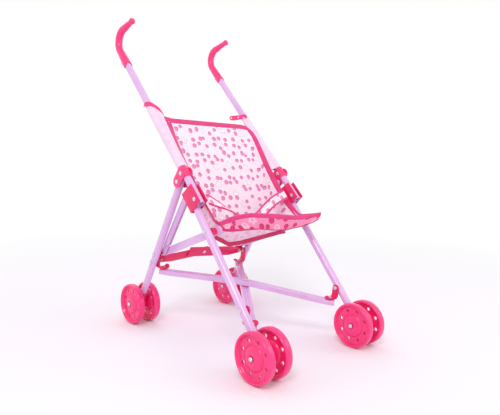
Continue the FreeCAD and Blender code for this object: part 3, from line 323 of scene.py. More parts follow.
def hardMaterial(name):
    base, deep, rough, grain, scuffs, bump, coat, coatRough = hardFinishes[name]
    material, tree, shader = startMaterial(name)
    surface = place(tree, handled, Vector=whereOn(tree), Base=base, Deep=deep,
                    Rough=rough, Grain=grain, Scuffs=scuffs)
    feed(tree, shader.inputs["Base Color"], surface.outputs["Color"])
    feed(tree, shader.inputs["Roughness"], surface.outputs["Roughness"])
    feed(tree, shader.inputs["Normal"], bumpOf(tree, surface.outputs["Height"], bump, 0.0004))
    shader.inputs["Coat Weight"].default_value = coat
    shader.inputs["Coat Roughness"].default_value = coatRough
    return material


def steelMaterial():
    material, tree, shader = startMaterial("rivetSteel")
    surface = place(tree, handled, Vector=whereOn(tree), Base=srgb(226, 222, 228), Deep=srgb(196, 190, 200),
                    Rough=0.3, Grain=2600.0, Scuffs=0.8)
    feed(tree, shader.inputs["Base Color"], surface.outputs["Color"])
    feed(tree, shader.inputs["Roughness"], surface.outputs["Roughness"])
    feed(tree, shader.inputs["Normal"], bumpOf(tree, surface.outputs["Height"], 0.08, 0.0003))
    shader.inputs["Metallic"].default_value = 0.85
    return material


clothPrints = {
    # ground, dot, dot shadow, outline, petal, dot radius, dot spacing, flower spacing
    "printedCotton": (srgb(253, 240, 249), srgb(234, 140, 192), srgb(196, 84, 144), srgb(140, 112, 142),
                      srgb(255, 254, 255), 0.0043, 0.0150, 0.040),
    "printBack": (srgb(251, 222, 236), srgb(243, 186, 214), srgb(236, 160, 198), srgb(238, 196, 218),
                  srgb(253, 234, 243), 0.0038, 0.0142, 0.037),
    "valanceCotton": (srgb(247, 150, 190), srgb(225, 40, 110), srgb(160, 24, 80), srgb(255, 236, 246),
                      srgb(250, 196, 220), 0.0050, 0.0185, 0.034),
}


def printMaterial(name):
    ground, dot, shadow, line, petal, radius, every, flowers = clothPrints[name]
    material, tree, shader = startMaterial(name)
    cloth = whereOn(tree, "UV")
    weave = place(tree, threads, Vector=cloth, Thread=0.00055, Slub=0.35)
    pattern = place(tree, dotsAndFlowers, Vector=cloth, Ground=ground, Dot=dot,
                    Shadow=shadow, Line=line, Petal=petal,
                    DotRadius=radius, DotEvery=every, FlowerEvery=flowers)
    # the weave's Shade darkens the print towards the dot colour: thread-tone slub streaks and painted shade of the
    # weave
    slubAndPaintedShade = calc(tree, "MULTIPLY", weave.outputs["Shade"], 0.22)
    shaded = mixColour(tree, slubAndPaintedShade, pattern.outputs["Color"], dot)
    feed(tree, shader.inputs["Base Color"], shaded)
    feed(tree, shader.inputs["Roughness"], calc(tree, "MULTIPLY_ADD", weave.outputs["Shade"], -0.2, 0.85))
    feed(tree, shader.inputs["Normal"], bumpOf(tree, weave.outputs["Height"], 0.25, 0.0003))
    shader.inputs["Sheen Weight"].default_value = 0.15
    return material


plainCloths = {
    # base, deeper tone, thread, roughness, sheen
    "trimTape": (srgb(234, 52, 132), srgb(214, 32, 108), 0.00045, 0.62, 0.25),
    "deepTrimTape": (srgb(222, 34, 104), srgb(198, 24, 90), 0.00045, 0.62, 0.2),
    "paleSatin": (srgb(249, 208, 226), srgb(240, 178, 206), 0.0004, 0.45, 0.2),
    "sleeveCotton": (srgb(248, 224, 242), srgb(240, 200, 230), 0.0005, 0.8, 0.15),
}


def clothMaterial(name):
    base, deep, thread, rough, sheen = plainCloths[name]
    material, tree, shader = startMaterial(name)
    cloth = whereOn(tree, "UV")
    weave = place(tree, threads, Vector=cloth, Thread=thread, Slub=0.5)
    drift = soften(tree, noiseOf(tree, cloth, 60.0, 3.0), 0.35, 0.7)
    # the weave's Shade darkens the cloth towards its deeper tone, along with the random drift: thread-tone slub
    # streaks and painted shade of the weave
    slubAndPaintedShade = calc(tree, "MULTIPLY", weave.outputs["Shade"], 0.4)
    tone = mixColour(tree, calc(tree, "MULTIPLY_ADD", drift, 0.5, slubAndPaintedShade), base, deep)
    feed(tree, shader.inputs["Base Color"], tone)
    feed(tree, shader.inputs["Roughness"], calc(tree, "MULTIPLY_ADD", weave.outputs["Shade"], -0.15, rough))
    feed(tree, shader.inputs["Normal"], bumpOf(tree, weave.outputs["Height"], 0.3, 0.0003))
    shader.inputs["Sheen Weight"].default_value = sheen
    return material


finishes = {name: hardMaterial(name) for name in hardFinishes}
finishes["rivetSteel"] = steelMaterial()
finishes.update({name: printMaterial(name) for name in clothPrints})
finishes.update({name: clothMaterial(name) for name in plainCloths})
print("materials made")


# making pieces by hand: a primitive, edit mode, modifiers, and the finish


def objectMode():
    if bpy.context.object is not None and bpy.context.object.mode != "OBJECT":
        bpy.ops.object.mode_set(mode="OBJECT")


def takeOnly(*pieces):
    objectMode()
    bpy.ops.object.select_all(action="DESELECT")
    for piece in pieces:
        piece.select_set(True)
    bpy.context.view_layer.objects.active = pieces[0]


def startPiece(name, primitive, **settings):
    objectMode()
    bpy.ops.object.select_all(action="DESELECT")
    primitive(**settings)
    piece = bpy.context.active_object
    piece.name = piece.data.name = name
    bpy.ops.object.transform_apply(location=True, rotation=True, scale=True)
    bpy.ops.object.mode_set(mode="EDIT")
    bpy.ops.mesh.select_all(action="SELECT")
    return piece


def pick(kind, test):
    # selects the vertices, edges or faces whose middle (and normal) pass the test
    bpy.ops.mesh.select_mode(type=kind)
    bpy.ops.mesh.select_all(action="DESELECT")
    mesh = bpy.context.edit_object.data
    shape = bmesh.from_edit_mesh(mesh)
    if kind == "VERT":
        for point in shape.verts:
            point.select_set(test(point.co, point.normal))
    elif kind == "EDGE":
        for line in shape.edges:
            line.select_set(test((line.verts[0].co + line.verts[1].co) / 2, line))
    else:
        for flat in shape.faces:
            flat.select_set(test(flat.calc_center_median(), flat.normal))
    shape.select_flush_mode()
    bmesh.update_edit_mesh(mesh)


def pullRing(centre, shift, grow=1.0, turn=0.0):
    # extrudes the selected ring, moves it, turns it about X and scales it about its own middle
    bpy.ops.mesh.extrude_region_move(TRANSFORM_OT_translate={"value": shift})
    centre = Vector(centre) + Vector(shift)
    if turn:
        bpy.ops.transform.rotate(value=-turn, orient_axis="X", center_override=centre)
    if grow != 1.0:
        bpy.ops.transform.resize(value=(grow, grow, grow), center_override=centre)
    return centre


def closeUp():
    bpy.ops.mesh.select_all(action="SELECT")
    bpy.ops.mesh.remove_doubles(threshold=0.00001)
    bpy.ops.mesh.fill_holes(sides=0)
    bpy.ops.mesh.select_all(action="SELECT")
    bpy.ops.mesh.normals_make_consistent(inside=False)


def addModifier(piece, kind, **settings):
    takeOnly(piece)
    modifier = piece.modifiers.new(kind.lower(), kind)
    for label, value in settings.items():
        setattr(modifier, label, value)
    bpy.ops.object.modifier_apply(modifier=modifier.name)


def smooth(piece, angle=35):
    takeOnly(piece)
    bpy.ops.object.shade_smooth_by_angle(angle=radians(angle))


def dress(piece, finish):
    piece.data.materials.clear()
    piece.data.materials.append(finishes[finish])


def turned(name, profile, middle, sides=48, axis=(1, 0, 0)):
    # profile: (radius, height along the axis) pairs, from one end to the other
    axis = Vector(axis).normalized()
    middle = Vector(middle)
    radius, height = profile[0]
    spin = Vector((0, 0, 1)).rotation_difference(axis).to_euler()
    piece = startPiece(name, bpy.ops.mesh.primitive_circle_add, vertices=sides, radius=radius,
                       location=middle + axis * height, rotation=spin)
    at = middle + axis * height
    for nextRadius, nextHeight in profile[1:]:
        at = pullRing(at, axis * (nextHeight - height), nextRadius / radius)
        radius, height = nextRadius, nextHeight
    closeUp()
    objectMode()
    return piece


def copyOf(piece, name, shift=(0, 0, 0)):
    twin = piece.copy()
    twin.data = piece.data.copy()
    twin.name = twin.data.name = name
    bpy.context.scene.collection.objects.link(twin)
    twin.location = shift
    takeOnly(twin)
    bpy.ops.object.transform_apply(location=True, rotation=True, scale=True)
    return twin


def softened(node, name, edge, segments=3, angle=30):
    # a copy of a moulded or pressed part, its facets merged and its edges rounded
    source = frame["nodes"][node]
    piece = bpy.data.objects.new(name, source.data.copy())
    piece.data.name = name
    bpy.context.scene.collection.objects.link(piece)
    takeOnly(piece)
    bpy.ops.object.mode_set(mode="EDIT")
    bpy.ops.mesh.select_all(action="SELECT")
    bpy.ops.mesh.remove_doubles(threshold=0.00002)
    bpy.ops.mesh.dissolve_limited(angle_limit=radians(0.6))
    objectMode()
    addModifier(piece, "BEVEL", width=edge, segments=segments, limit_method="ANGLE",
                angle_limit=radians(angle), use_clamp_overlap=True, miter_outer="MITER_ARC")
    smooth(piece, 40)
    return piece


# cloth: grids whose points are laid one by one, with a UV map in metres


def layCloth(name, across, along, placeAt, flatAt):
    sheet = startPiece(name, bpy.ops.mesh.primitive_grid_add, size=1,
                       x_subdivisions=across, y_subdivisions=along)
    objectMode()
    mesh = sheet.data
    shares = [(point.co.x + 0.5, point.co.y + 0.5) for point in mesh.vertices]
    for point, (u, v) in zip(mesh.vertices, shares):
        point.co = placeAt(u, v)
    layer = mesh.uv_layers.active.data
    for corner in mesh.loops:
        layer[corner.index].uv = flatAt(*shares[corner.vertex_index])
    return sheet


def finishCloth(sheet, finish, thick=0.0, lining=None, solid=False):
    # joins the edges that meet, closes a solid one, gives the rest their thickness
    takeOnly(sheet)
    bpy.ops.object.mode_set(mode="EDIT")
    bpy.ops.mesh.select_all(action="SELECT")
    bpy.ops.mesh.remove_doubles(threshold=0.00001)
    if solid:
        bpy.ops.mesh.fill_holes(sides=0)
        bpy.ops.mesh.select_all(action="SELECT")
    bpy.ops.mesh.normals_make_consistent(inside=False)
    objectMode()
    dress(sheet, finish)
    if lining:
        sheet.data.materials.append(finishes[lining])
    if thick:
        addModifier(sheet, "SOLIDIFY", thickness=thick, offset=0.0, material_offset=1 if lining else 0)
    smooth(sheet, 60)


def goesWithFold(piece, node):
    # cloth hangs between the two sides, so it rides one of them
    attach(piece, bodyOf[node])
    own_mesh(piece)


def alongLine(points, share):
    # straight runs between (share, value, value, ...) entries
    for first, second in zip(points, points[1:]):
        if share <= second[0]:
            break
    part = (share - first[0]) / (second[0] - first[0])
    return Vector(first[1:]).lerp(Vector(second[1:]), min(max(part, 0.0), 1.0))


def easeIn(share):
    share = min(max(share, 0.0), 1.0)
    return share * share * (3 - 2 * share)


def lengthOf(places):
    return sum((second - first).length for first, second in zip(places, places[1:]))


# wheels: one disc, turned and drilled, then copied to the eight places

disc = {
    "outline": [  # radius and height of one face, from the rivet to the tread
        (0.0024, 0.0046), (0.0044, 0.0046), (0.0052, 0.0059), (0.0064, 0.0063), (0.0085, 0.0062),
        (0.0120, 0.0055), (0.0155, 0.0042), (0.0180, 0.0026), (0.0187, 0.0017), (0.0190, 0.0012),
        (0.0300, 0.0012), (0.0306, 0.0018), (0.0316, 0.0040), (0.0324, 0.0058), (0.0331, 0.0064),
        (0.0341, 0.0064), (0.0353, 0.0058), (0.0361, 0.0045), (0.0365, 0.0030), (0.0365, 0.0010),
    ],
    "sides": 80,
    "holes": 8,
    "turned": 0.48,  # radians from straight up to the first hole
    "holeCircle": 0.0243,
    "holeRadius": 0.0028,
    "drillLong": 0.03,
}


def makeDrills():
    drills = []
    for k in range(disc["holes"]):
        turn = disc["turned"] + 2 * pi * k / disc["holes"]
        objectMode()
        bpy.ops.object.select_all(action="DESELECT")
        middle = (0, disc["holeCircle"] * sin(turn), disc["holeCircle"] * cos(turn))
        bpy.ops.mesh.primitive_cylinder_add(vertices=20, radius=disc["holeRadius"], depth=disc["drillLong"],
                                            location=middle, rotation=(0, pi / 2, 0))
        drills.append(bpy.context.active_object)
    takeOnly(*drills)
    bpy.ops.object.join()
    return bpy.context.active_object


def makeDisc():
    outline = disc["outline"]
    profile = outline + [(radius, -height) for radius, height in reversed(outline)]
    wheel = turned("wheelDisc", profile + [profile[0]], (0, 0, 0), sides=disc["sides"])
    drills = makeDrills()
    addModifier(wheel, "BOOLEAN", object=drills, operation="DIFFERENCE", solver="EXACT")
    bpy.data.objects.remove(drills)
    smooth(wheel, 35)
    return wheel


wheelDisc = makeDisc()
for end in ("front", "rear"):
    for side in sides:
        for lane in ("outer", "inner"):
            node = f"{end}_wheel_{side}_{lane}"
            wheel = copyOf(wheelDisc, f"wheel_{end}_{side}_{lane}", jointPlace(f"{end}_{lane}_spin_{side}"))
            dress(wheel, "pinkPlastic")
            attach(wheel, bodyOf[node])
            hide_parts(node)
bpy.data.objects.remove(wheelDisc)
print("wheels made")


# wheel pins: a plain rod with a domed head at each end

pin = {"rod": 0.002, "head": 0.0036, "halfLength": 0.0233, "dome": 0.0017}

for end in ("front", "rear"):
    for side, sign in sides.items():
        node = f"{end}_axle_{side}"
        low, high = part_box(node)
        middle = (low + high) / 2
        half = pin["halfLength"]
        dome = [(pin["head"] * cos(turn), half + pin["dome"] * sin(turn))
                for turn in (0, 0.35, 0.7, 1.05, 1.35)]
        run = [(pin["rod"], 0.0), (pin["rod"], half - 0.0003), (pin["head"], half - 0.0002)] + dome
        whole = [(radius, -height) for radius, height in reversed(run[1:])] + run[1:]
        axle = turned(f"pin_{end}_{side}", whole, middle, sides=24)
        smooth(axle, 40)
        dress(axle, "rivetSteel")
        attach(axle, bodyOf[node])
        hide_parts(node)
print("wheel pins made")


# the handle tubes, which the grips and the sleeves follow

handle = {
    "x": 0.110,
    "slope": 46.0,  # degrees up from the floor
    "elbow": Vector((0, -0.013577, 0.241828)),
    "mouth": Vector((0, 0.212673, 0.476117)),  # where the grip begins
}


def inPlane(angle):
    return Vector((0, cos(radians(angle)), sin(radians(angle))))


upHandle = inPlane(handle["slope"])
overHandle = inPlane(handle["slope"] + 90)


# handle grips: a ring drawn along the bend, with finger ridges, a saddle-cut mouth and a ball nose

grip = {
    "mouth": 0.0080, "bend": 0.0069, "neck": 0.0048, "ball": 0.0060, "ballFlat": 0.72,
    "straight": 0.0415, "bendRadius": 0.0235, "bendTurn": 120, "reach": 0.0345,
    "ridges": 6, "ridgeFrom": 0.50, "ridgeEvery": 0.0070, "ridgeHigh": 0.0012, "horn": 0.0048,
    "sides": 28, "tube": 0.0064,
}


def makeGrip(name, x, mouth):
    slope = handle["slope"]
    at = Vector(mouth)
    piece = startPiece(name, bpy.ops.mesh.primitive_circle_add, vertices=grip["sides"], radius=grip["mouth"],
                       location=at, rotation=(radians(slope - 90), 0, 0))
    radius = grip["mouth"]
    spine = []  # middle, heading, radius and distance of each ring
    gone = 0.0

    def go(advance, turn, nextRadius):
        nonlocal at, slope, radius, gone
        at = pullRing(at, inPlane(slope + turn / 2) * advance, nextRadius / radius, radians(turn))
        slope += turn
        radius = nextRadius
        gone += advance
        spine.append((at.copy(), slope, radius, gone))

    for swell in (0.0080, 0.0079, 0.0078, 0.0076, 0.0074, 0.0072, 0.0070, 0.0069):
        go(grip["straight"] / 8, 0, swell)
    steps = 24
    for k in range(steps):
        turn = grip["bendTurn"] / steps
        go(2 * grip["bendRadius"] * sin(radians(turn / 2)), turn, grip["bend"] - 0.0003 * k / steps)
    ball = grip["ball"]
    last = -0.6 * ball * grip["ballFlat"]
    noseRun = grip["reach"] + last
    noseSteps = 10
    for k in range(noseSteps):
        share = (k + 1) / noseSteps
        go(noseRun / noseSteps, 0, grip["bend"] - 0.0003 + (grip["neck"] - grip["bend"] + 0.0003) * share)
    for angle in (62, 76, 90, 104, 118, 132, 146, 160, 172):
        height = -ball * cos(radians(angle)) * grip["ballFlat"]
        go(height - last, 0, ball * sin(radians(angle)))
        last = height
    bpy.ops.mesh.edge_face_add()

    # the mouth turns in to the tube, and its two sides run on as horns
    def atMouth(place, _):
        off = place - Vector(mouth)
        return off.length < grip["mouth"] * 1.02 and abs(off.dot(upHandle)) < 0.0004

    pick("VERT", atMouth)
    bpy.ops.mesh.extrude_region_move(TRANSFORM_OT_translate={"value": (0, 0, 0)})
    shrink = grip["tube"] / grip["mouth"]
    bpy.ops.transform.resize(value=(shrink, shrink, shrink), center_override=mouth)
    bpy.ops.mesh.extrude_region_move(TRANSFORM_OT_translate={"value": upHandle * 0.012})
    for side in (-1, 1):
        for reach, share in ((0.55, 0.35), (0.78, 0.35), (0.93, 0.3)):
            pick("VERT", lambda place, _: (place.x - x) * side > reach * grip["tube"]
                 and (place - Vector(mouth)).dot(upHandle) < 0.001)
            bpy.ops.transform.translate(value=upHandle * -grip["horn"] * share)

    # finger ridges along the inside of the upper bend
    start = gone * grip["ridgeFrom"]
    for k in range(grip["ridges"]):
        for wide, lift in ((0.0026, 0.5), (0.0013, 0.5)):
            middle = start + k * grip["ridgeEvery"]

            def onRidge(place, _):
                for ringAt, heading, _, far in spine:
                    if abs(far - middle) < wide and abs((place - ringAt).dot(inPlane(heading))) < 0.0006:
                        inward = inPlane(heading + 90)
                        return (place - ringAt).normalized().dot(inward) > 0.45
                return False

            pick("VERT", onRidge)
            nearest = min(spine, key=lambda ring: abs(ring[3] - middle))
            bpy.ops.transform.translate(value=inPlane(nearest[1] + 90) * grip["ridgeHigh"] * lift)
    closeUp()
    objectMode()
    addModifier(piece, "SUBSURF", levels=1, render_levels=1)
    smooth(piece, 60)
    return piece


gripButton = {"along": 0.0115, "out": 0.0072, "radius": 0.0031, "high": 0.0018}

for side, sign in sides.items():
    node = f"handle_grip_{side}"
    mouth = Vector((sign * handle["x"], handle["mouth"].y, handle["mouth"].z))
    piece = makeGrip(f"grip_{side}", mouth.x, mouth)
    dress(piece, "pinkPlastic")
    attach(piece, bodyOf[node])
    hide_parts(node)
    outward = (Vector((-0.62, 0, 0)) - 0.78 * overHandle).normalized()
    foot = mouth + upHandle * gripButton["along"] + outward * gripButton["out"]
    radius, tall = gripButton["radius"], gripButton["high"]
    profile = [(radius * 1.15, -0.001), (radius * 1.1, 0.0004), (radius, tall * 0.8), (radius * 0.8, tall),
               (radius * 0.55, tall), (radius * 0.5, tall * 0.7), (radius * 0.2, tall * 0.7)]
    button = turned(f"gripButton_{side}", profile, foot, sides=20, axis=outward)
    smooth(button, 40)
    dress(button, "rivetSteel")
    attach(button, bodyOf[node])
print("grips made")


# strips bent from flat stock: hooks and clips


def bendStrip(name, finish, line, thick, widthAt, steps=44, face=None, ends=(0.0, 0.0), soft=0.03):
    # line: share, x, y, z and width. The width runs along widthAt, or lies square to the face
    def even(share):
        shifts = (-2 * soft, -soft, 0, soft, 2 * soft)
        near = [alongLine(line, min(max(share + shift, 0), 1)) for shift in shifts]
        return [sum(each[k] for each in near) / 5 for k in range(4)]

    def at(u, v):
        x, y, z, wide = even(v)
        ahead = Vector(even(min(v + 0.03, 1))[:3]) - Vector(even(max(v - 0.03, 0))[:3])
        across = widthAt or ahead.cross(alongLine(face, v)).normalized()
        for edge, near in zip(ends, (v, 1 - v)):
            if edge and near < edge:
                wide *= max(0.12, 1 - (1 - near / edge) ** 2) ** 0.5
        return Vector((x, y, z)) + across * wide * (u - 0.5)

    strip = layCloth(name, 10, steps, at, lambda u, v: (v * 0.05, u * 0.01))
    finishCloth(strip, finish, thick)
    addModifier(strip, "BEVEL", width=0.0005, segments=3, limit_method="ANGLE", angle_limit=radians(55))
    smooth(strip, 50)
    return strip


hook = {
    "thick": 0.0026, "wide": 0.0120, "stemX": 0.1018, "tipX": 0.0808, "rise": 0.0058,
    "overPin": 0.0058, "underPin": 0.002, "bendHigh": 0.0030, "bendIn": 0.0026,
    "wall": 0.0022, "underBar": 0.0008,  # the pressed flange, and its gap to the lowest point
    "slide": {"front": -0.0005, "rear": -0.0023},
    "barWay": Vector((0, 0.99027, 0.13917)), "barUp": Vector((0, -0.13917, 0.99027)),
}

for end in ("front", "rear"):
    for side, sign in sides.items():
        node = f"{end}_hook_{side}"
        low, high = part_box(node)
        pinAt = jointPlace(f"{end}_tilt_{side}")
        barAt = Vector((0, (low.y + high.y) / 2, low.z + hook["underBar"] + hook["wall"] / 2))
        drop = (barAt - pinAt).dot(hook["barUp"])

        def hookAt(share, x, height, width=1.0):
            slide = hook["slide"][end] * min(1, height / drop)
            place = pinAt + hook["barUp"] * height + hook["barWay"] * slide
            return share, sign * x, place.y, place.z, hook["wide"] * width

        run = [
            hookAt(0.0, hook["stemX"], hook["overPin"]),
            hookAt(0.20, hook["stemX"], -hook["underPin"]),
            hookAt(0.48, hook["stemX"], drop + hook["bendHigh"]),
            hookAt(0.56, hook["stemX"] - hook["bendIn"], drop),
            hookAt(0.84, hook["tipX"] + 0.0044, drop),
            hookAt(0.91, hook["tipX"] + 0.0012, drop + 0.0012, 0.95),
            hookAt(1.0, hook["tipX"], drop + hook["rise"], 0.8),
        ]
        piece = bendStrip(f"hook_{end}_{side}", "deepPinkPlastic", run, hook["thick"], hook["barWay"],
                          ends=(0.16, 0.09), soft=0.018)
        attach(piece, bodyOf[node])
        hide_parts(node)
print("hooks bent")

clips = {
    # line: share, then x, y, z and width. face: share and the way the face looks. rivets: foot and axis
    "left": {
        "line": [(0.0, -0.1178, 0.1400, 0.3970, 0.0080), (0.12, -0.1175, 0.1345, 0.3985, 0.0084),
                 (0.24, -0.1155, 0.1303, 0.3990, 0.0086), (0.35, -0.1125, 0.1272, 0.3983, 0.0088),
                 (0.46, -0.1083, 0.1252, 0.3968, 0.0088), (0.58, -0.1038, 0.1245, 0.3935, 0.0088),
                 (0.70, -0.1005, 0.1220, 0.3890, 0.0086), (0.82, -0.0985, 0.1175, 0.3843, 0.0076),
                 (0.92, -0.0972, 0.1120, 0.3795, 0.0046), (1.0, -0.0965, 0.1073, 0.3762, 0.0014)],
        "face": [(0.0, -1.0, 0.10, 0.0), (0.24, -0.70, -0.50, 0.50), (0.46, 0.0, -0.75, 0.66),
                 (0.70, -0.35, -0.85, 0.35), (1.0, -0.50, -0.85, 0.0)],
        "rivets": [((-0.1192, 0.1385, 0.3945), (-1, -0.35, 0.1))],
    },
    "right": {
        "line": [(0.0, 0.0825, 0.1482, 0.3900, 0.0095), (0.20, 0.0915, 0.1415, 0.3910, 0.0095),
                 (0.36, 0.0990, 0.1360, 0.3922, 0.0090), (0.46, 0.1022, 0.1315, 0.3935, 0.0095),
                 (0.56, 0.1046, 0.1268, 0.3945, 0.0100), (0.68, 0.1095, 0.1235, 0.3940, 0.0105),
                 (0.80, 0.1148, 0.1245, 0.3920, 0.0105), (0.90, 0.1178, 0.1290, 0.3890, 0.0100),
                 (1.0, 0.1165, 0.1345, 0.3850, 0.0095)],
        "face": [(0.0, -0.60, -0.80, 0.0), (0.36, -0.65, -0.75, 0.1), (0.46, -0.95, -0.30, 0.2),
                 (0.68, 0.0, -0.75, 0.66), (0.9, 1.0, -0.1, 0.1), (1.0, 0.9, 0.4, -0.1)],
        "rivets": [((0.0858, 0.1448, 0.3903), (-0.6, -0.8, 0)),
                   ((0.0972, 0.1362, 0.3920), (-0.62, -0.78, 0.05))],
    },
}
clipThick = 0.0017
clipHead = [(0.0016, -0.0006), (0.0016, 0.0003), (0.0013, 0.0006), (0.0008, 0.0008), (0.0002, 0.0009)]

for side, clip in clips.items():
    node = f"seat_clip_{side}"
    piece = bendStrip(f"clip_{side}", "pinkPlastic", clip["line"], clipThick, None,
                      face=clip["face"], ends=(0.12, 0.0))
    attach(piece, bodyOf[node])
    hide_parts(node)
    for count, (foot, way) in enumerate(clip["rivets"]):
        head = turned(f"clipRivet_{side}_{count}", clipHead, foot, sides=20, axis=way)
        smooth(head, 40)
        dress(head, "rivetSteel")
        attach(head, bodyOf[node])
print("clips bent")


# moulded and pressed parts whose shape is right: edges rounded, finish added

roundedParts = {
    # part: finish, edge radius
    "elbow_channel": ("deepPinkPlastic", 0.0005),
    "leg_clamp": ("pinkPlastic", 0.0008),
    "lock_lug": ("deepPinkPlastic", 0.0006),
    "lock_lever": ("deepPinkPlastic", 0.0006),
    "front_foot": ("deepPinkPlastic", 0.0010),
    "rear_foot": ("deepPinkPlastic", 0.0010),
    "frame_rivets": ("rivetSteel", 0.0008),
    "leg_rivets": ("rivetSteel", 0.0008),
    "bar_rivets": ("rivetSteel", 0.0008),
    "rail_spacers": ("deepPinkPlastic", 0.0004),
    "cross_bar": ("lilacPaint", 0.0006),
    "seat_rail": ("lilacPaint", 0.0006),
    "seat_strut": ("lilacPaint", 0.0004),
}
plainParts = {"front_leg": "lilacPaint", "rear_leg": "lilacPaint", "handle_tube": "lilacPaint"}
clipsAbove = 0.37
singleParts = {"lock_rivet": ("rivetSteel", 0.0008), "bar_spacer": ("deepPinkPlastic", 0.0003)}


def roundPart(node, finish, edge):
    piece = softened(node, f"round_{node}", edge)
    if node.startswith("frame_rivets"):
        # the rivets of the clips, which stand highest, are made with the clips
        takeOnly(piece)
        bpy.ops.object.mode_set(mode="EDIT")
        pick("VERT", lambda place, _: place.z > clipsAbove)
        bpy.ops.mesh.delete(type="VERT")
        objectMode()
    dress(piece, finish)
    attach(piece, bodyOf[node])
    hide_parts(node)
    return piece


for part, (finish, edge) in roundedParts.items():
    for side in sides:
        roundPart(f"{part}_{side}", finish, edge)
for node, (finish, edge) in singleParts.items():
    roundPart(node, finish, edge)
for part, finish in plainParts.items():
    for side in sides:
        node = frame["nodes"][f"{part}_{side}"]
        node.data.materials.clear()
        node.data.materials.append(finishes[finish])
print("frame parts finished")


# tape: a flat strip with rounded edges, sewn along a path

tapeSection = [(-0.05, 0.0), (-0.01, 0.7), (0.08, 1.0), (0.5, 1.0), (0.92, 1.0), (1.0, 0.7),
               (1.03, 0.0), (1.0, -0.7), (0.92, -1.0), (0.5, -1.0), (0.08, -1.0), (-0.01, -0.7)]


def layTape(name, finish, path, steps, wide, thick, closed=False):
    # path(share) gives the outer edge, the way in from it, and the way the tape faces
    places = [path(k / steps) for k in range(steps + 1)]
    if closed:
        places[-1] = places[0]
    run = [0.0]
    for first, second in zip(places, places[1:]):
        run.append(run[-1] + (second[0] - first[0]).length)

    def ringPoint(u, v):
        outside, inward, facing = places[round(v * steps)]
        reach, height = tapeSection[round(u * len(tapeSection)) % len(tapeSection)]
        width = wide(v) if callable(wide) else wide
        return outside + inward * reach * width + facing * height * thick / 2

    def ringFlat(u, v):
        reach, _ = tapeSection[round(u * len(tapeSection)) % len(tapeSection)]
        return run[round(v * steps)], reach * (wide(v) if callable(wide) else wide)

    tape = layCloth(name, len(tapeSection), steps, ringPoint, ringFlat)
    finishCloth(tape, finish, solid=True)
    return tape


# seat sling: one printed sheet from the top hem down the back, round the fold and out to the front edge

sling = {
    "across": 96, "along": 104,
    "halfWide": 0.0865,  # where the side walls meet the back and the seat
    "wallShare": 0.24,
    "foldAt": 0.70,
    "thick": 0.0008,
    "corner": 0.010,  # how quickly a wall turns down from its edge
    "wave": 0.0011,
    # share of the length, then y and z along the middle
    "middle": [(0.0, 0.100, 0.374), (0.70, 0.001, 0.1655), (1.0, -0.076, 0.2135)],
    # share of the length, then distance from the centre plane, y and z along each side edge
    "edges": {
        -1: [(0.0, 0.0985, 0.106, 0.377), (0.10, 0.0985, 0.082, 0.3475), (0.20, 0.0975, 0.062, 0.321),
             (0.32, 0.0945, 0.038, 0.292), (0.44, 0.0943, 0.014, 0.261), (0.57, 0.0945, -0.012, 0.233),
             (0.66, 0.0950, -0.026, 0.221), (0.76, 0.0945, -0.036, 0.2095), (0.84, 0.0925, -0.043, 0.2065),
             (0.92, 0.0900, -0.054, 0.2110), (1.0, 0.0860, -0.066, 0.2165)],
        1: [(0.0, 0.0985, 0.106, 0.377), (0.10, 0.0995, 0.084, 0.352), (0.20, 0.0985, 0.064, 0.326),
            (0.32, 0.0945, 0.039, 0.295), (0.44, 0.0943, 0.014, 0.262), (0.57, 0.0945, -0.013, 0.232),
            (0.70, 0.0950, -0.042, 0.209), (0.85, 0.0935, -0.068, 0.2125), (1.0, 0.0920, -0.0930, 0.2165)],
    },
    # across the front edge and across the fold: x, then y and z
    "front": [(-0.0860, -0.066, 0.2165), (-0.070, -0.073, 0.2205), (-0.054, -0.0765, 0.2215),
              (-0.030, -0.078, 0.2200), (0.0, -0.079, 0.2175), (0.040, -0.081, 0.2130),
              (0.068, -0.085, 0.2125), (0.080, -0.089, 0.2140), (0.092, -0.093, 0.2165)],
    "fold": [(-0.0865, 0.002, 0.1820), (-0.068, 0.001, 0.1770), (-0.055, 0.0, 0.1705), (-0.040, 0.0, 0.1630),
             (-0.012, 0.0, 0.1635), (0.040, 0.001, 0.1690), (0.0865, 0.002, 0.1745)],
    "rounding": (0.20, 0.085),  # the upper right corner is cut round: shares of the width and length
}


def roundCorner(u, v):
    wide, deep = sling["rounding"]
    across, up = (u - 1 + wide) / wide, (deep - v) / deep
    if across <= 0 or up <= 0:
        return u, v
    pull = max(across, up) / hypot(across, up)
    return 1 - wide + wide * across * pull, deep - deep * up * pull


def slingPoint(u, v):
    u, v = roundCorner(u, v)
    sign = 1 if u > 0.5 else -1
    away = abs(2 * u - 1)
    half = sling["halfWide"]
    wall = sling["wallShare"]
    x = sign * half * min(away / (1 - wall), 1.0)
    middle = alongLine(sling["middle"], v)
    front = easeIn((v - sling["foldAt"]) / (1 - sling["foldAt"]))
    fold = exp(-((v - sling["foldAt"]) / 0.13) ** 2)
    floor = middle + (alongLine(sling["front"], x) - alongLine(sling["middle"], 1.0)) * front
    floor += (alongLine(sling["fold"], x) - alongLine(sling["middle"], sling["foldAt"])) * fold
    if away <= 1 - wall:
        return Vector((x, floor.x, floor.y))
    share = (1 - away) / wall
    edge = alongLine(sling["edges"][sign], v)
    rim = Vector((edge.y, edge.z))
    deep = (floor - rim).length * share
    inward = 1 - (1 - share) * exp(-deep / sling["corner"])
    flat = rim.lerp(floor, share)
    return Vector((sign * (edge.x + (half - edge.x) * inward), flat.x, flat.y))


